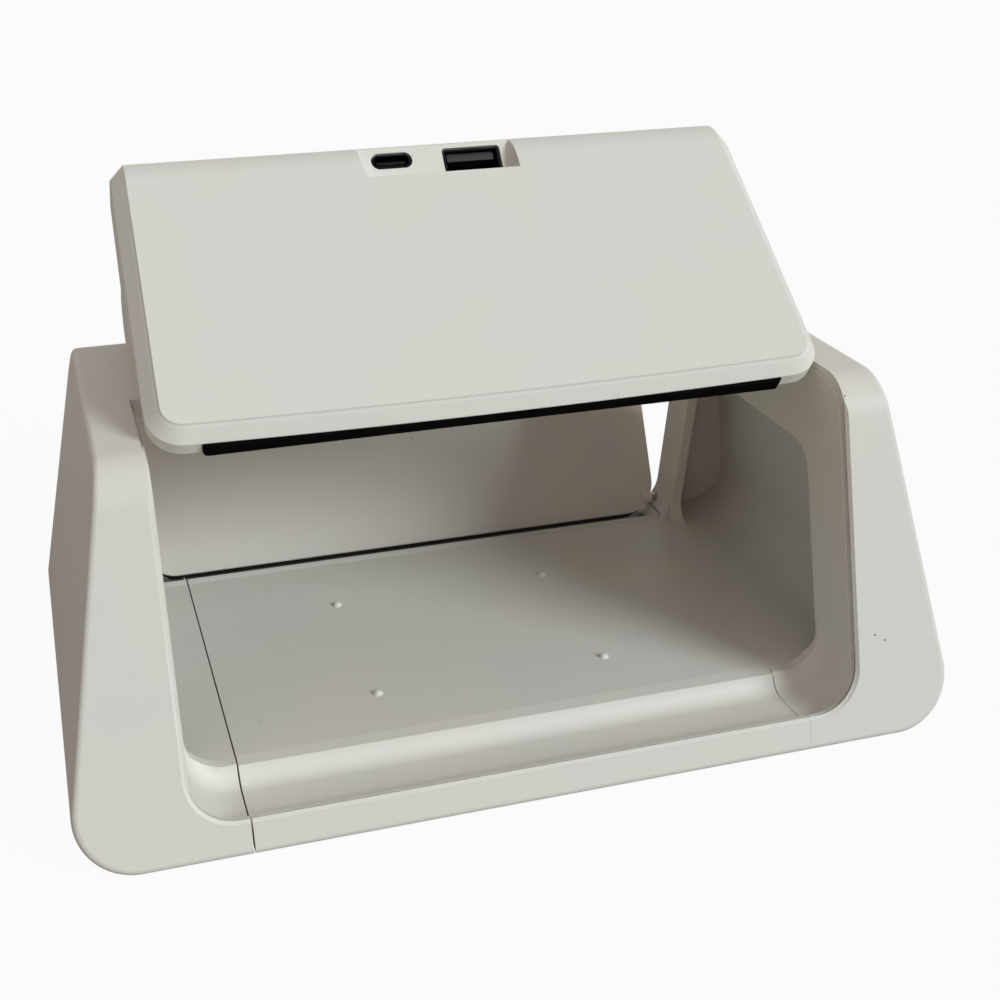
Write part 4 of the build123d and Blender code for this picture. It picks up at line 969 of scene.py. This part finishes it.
class SANITIZER_OT_stage(bpy.types.Operator):
    """Lay the floor and set the lights and the camera"""

    bl_idname = "sanitizer.stage"
    bl_label = "Stage"

    def execute(self, context):
        settings = context.scene.sanitizer_box.stage
        clear_selection()
        bpy.ops.mesh.primitive_plane_add(size=FLOOR_SIZE, location=(0, 0, 0))
        floor = context.object
        floor.name = "floor"
        floor.data.materials.append(floor_finish("floor", settings))
        light_world(context.scene, settings)
        add_sun("key light", KEY_FROM, settings.key_strength, settings.key_softness, KEY_COLOR)
        add_sun("top light", TOP_FROM, settings.top_strength, TOP_SOFTNESS, TOP_COLOR)
        set_camera(context.scene)
        context.scene.view_settings.view_transform = "Standard"
        return {"FINISHED"}


def add_sun(name, place, strength, softness, color):
    """A wide distant light that shines from place at the middle of the floor."""
    bpy.ops.object.light_add(type="SUN", location=place)
    lamp = bpy.context.object
    lamp.name = name
    lamp.data.energy = strength
    lamp.data.angle = softness
    lamp.data.color = color
    lamp.rotation_euler = (-place).to_track_quat("-Z", "Y").to_euler()


def floor_finish(name, settings):
    """Plain pale floor: bright in the picture, with the box's soft shadow kept."""
    finish = Finish(name)
    tone = finish.noise(finish.place(), 0.4, 2.0, 0.5)
    pale = tuple(settings.floor_color)
    base = finish.mix(pale, darker(pale, 0.99), tone)
    finish.feed(Base_Color=base, Roughness=0.9, Specular_IOR_Level=0.1)
    glow = finish.node("ShaderNodeEmission", None, {"Color": (1, 1, 1, 1), "Strength": 1.0})
    camera_ray, glossy_ray, clear_ray = (
        finish.node("ShaderNodeLightPath", output=ray)
        for ray in ("Is Camera Ray", "Is Glossy Ray", "Is Transmission Ray"))
    seen = (camera_ray + clear_ray + glossy_ray * MIRRORED_FLOOR).at_most(1.0)
    mixed = finish.tree.nodes.new("ShaderNodeMixShader")
    finish.tree.links.new((seen * FLOOR_WHITE).socket, mixed.inputs[0])
    finish.tree.links.new(finish.shader.outputs[0], mixed.inputs[1])
    finish.tree.links.new(glow.socket, mixed.inputs[2])
    output = next(node for node in finish.tree.nodes if node.type == "OUTPUT_MATERIAL")
    finish.tree.links.new(mixed.outputs[0], output.inputs["Surface"])
    return finish.material


def light_world(scene, settings):
    """Soft light from all round, and white where the background shows."""
    world = bpy.data.worlds.new("studio")
    scene.world = world
    world.use_nodes = True
    tree = world.node_tree
    tree.nodes.clear()
    paths = tree.nodes.new("ShaderNodeLightPath")
    shown = tree.nodes.new("ShaderNodeMath")
    shown.operation = "MAXIMUM"
    mirrored = tree.nodes.new("ShaderNodeMath")
    mirrored.operation = "MAXIMUM"
    tree.links.new(paths.outputs["Is Glossy Ray"], mirrored.inputs[0])
    tree.links.new(paths.outputs["Is Transmission Ray"], mirrored.inputs[1])
    tree.links.new(paths.outputs["Is Camera Ray"], shown.inputs[0])
    tree.links.new(mirrored.outputs[0], shown.inputs[1])
    fill = tree.nodes.new("ShaderNodeBackground")
    fill.inputs["Color"].default_value = (*settings.fill_color, 1.0)
    fill.inputs["Strength"].default_value = settings.fill_strength
    white = tree.nodes.new("ShaderNodeBackground")
    white.inputs["Color"].default_value = (1, 1, 1, 1)
    white.inputs["Strength"].default_value = 1.0
    mixed = tree.nodes.new("ShaderNodeMixShader")
    output = tree.nodes.new("ShaderNodeOutputWorld")
    tree.links.new(shown.outputs[0], mixed.inputs[0])
    tree.links.new(fill.outputs[0], mixed.inputs[1])
    tree.links.new(white.outputs[0], mixed.inputs[2])
    tree.links.new(mixed.outputs[0], output.inputs["Surface"])


def set_camera(scene):
    """Camera a little to the left of the box and above it, level but for a slight roll."""
    yaw, pitch, roll = CAMERA_YAW, CAMERA_PITCH, CAMERA_ROLL
    ahead = Vector((sin(yaw) * cos(pitch), cos(yaw) * cos(pitch), -sin(pitch)))
    level = Vector((cos(yaw), -sin(yaw), 0))
    down = -level.cross(ahead)
    right = cos(roll) * level + sin(roll) * down
    up = sin(roll) * level - cos(roll) * down
    data = bpy.data.cameras.new("camera")
    data.sensor_fit = "HORIZONTAL"
    data.sensor_width = SENSOR_WIDTH
    data.lens = SENSOR_WIDTH * FOCAL_SHARE
    data.clip_start = 0.01
    camera = bpy.data.objects.new("camera", data)
    scene.collection.objects.link(camera)
    turn = Matrix((right, up, -ahead)).transposed().to_4x4()
    camera.matrix_world = Matrix.Translation(CAMERA_PLACE) @ turn
    scene.camera = camera


class SANITIZER_PT_panel(bpy.types.Panel):
    """Steps and settings of the sanitizer box"""

    bl_label = "Sanitizer Box"
    bl_idname = "SANITIZER_PT_panel"
    bl_space_type = "VIEW_3D"
    bl_region_type = "UI"
    bl_category = "Sanitizer Box"

    def draw(self, context):
        settings = context.scene.sanitizer_box
        for label, group in (("Plastic", settings.plastic), ("Sockets", settings.sockets),
                             ("Coil", settings.coil), ("Stage", settings.stage)):
            box = self.layout.box()
            box.label(text=label)
            for name in group.__annotations__:
                box.prop(group, name)
        for operator in OPERATORS:
            self.layout.operator(operator.bl_idname)


GROUPS = (PlasticSettings, SocketSettings, CoilSettings, StageSettings, BoxSettings)
OPERATORS = (
    SANITIZER_OT_stage,
    SANITIZER_OT_mouldings,
    SANITIZER_OT_rubber,
    SANITIZER_OT_hardware,
    SANITIZER_OT_sockets,
    SANITIZER_OT_electronics,
)


def register():
    for item in (*GROUPS, *OPERATORS, SANITIZER_PT_panel):
        bpy.utils.register_class(item)
    bpy.types.Scene.sanitizer_box = PointerProperty(type=BoxSettings)


def unregister():
    del bpy.types.Scene.sanitizer_box
    for item in reversed((*GROUPS, *OPERATORS, SANITIZER_PT_panel)):
        bpy.utils.unregister_class(item)


def main():
    register()
    bpy.ops.sanitizer.stage()
    bpy.ops.sanitizer.mouldings()
    bpy.ops.sanitizer.rubber()
    bpy.ops.sanitizer.hardware()
    bpy.ops.sanitizer.sockets()
    bpy.ops.sanitizer.electronics()


if __name__ == "__main__":
    main()
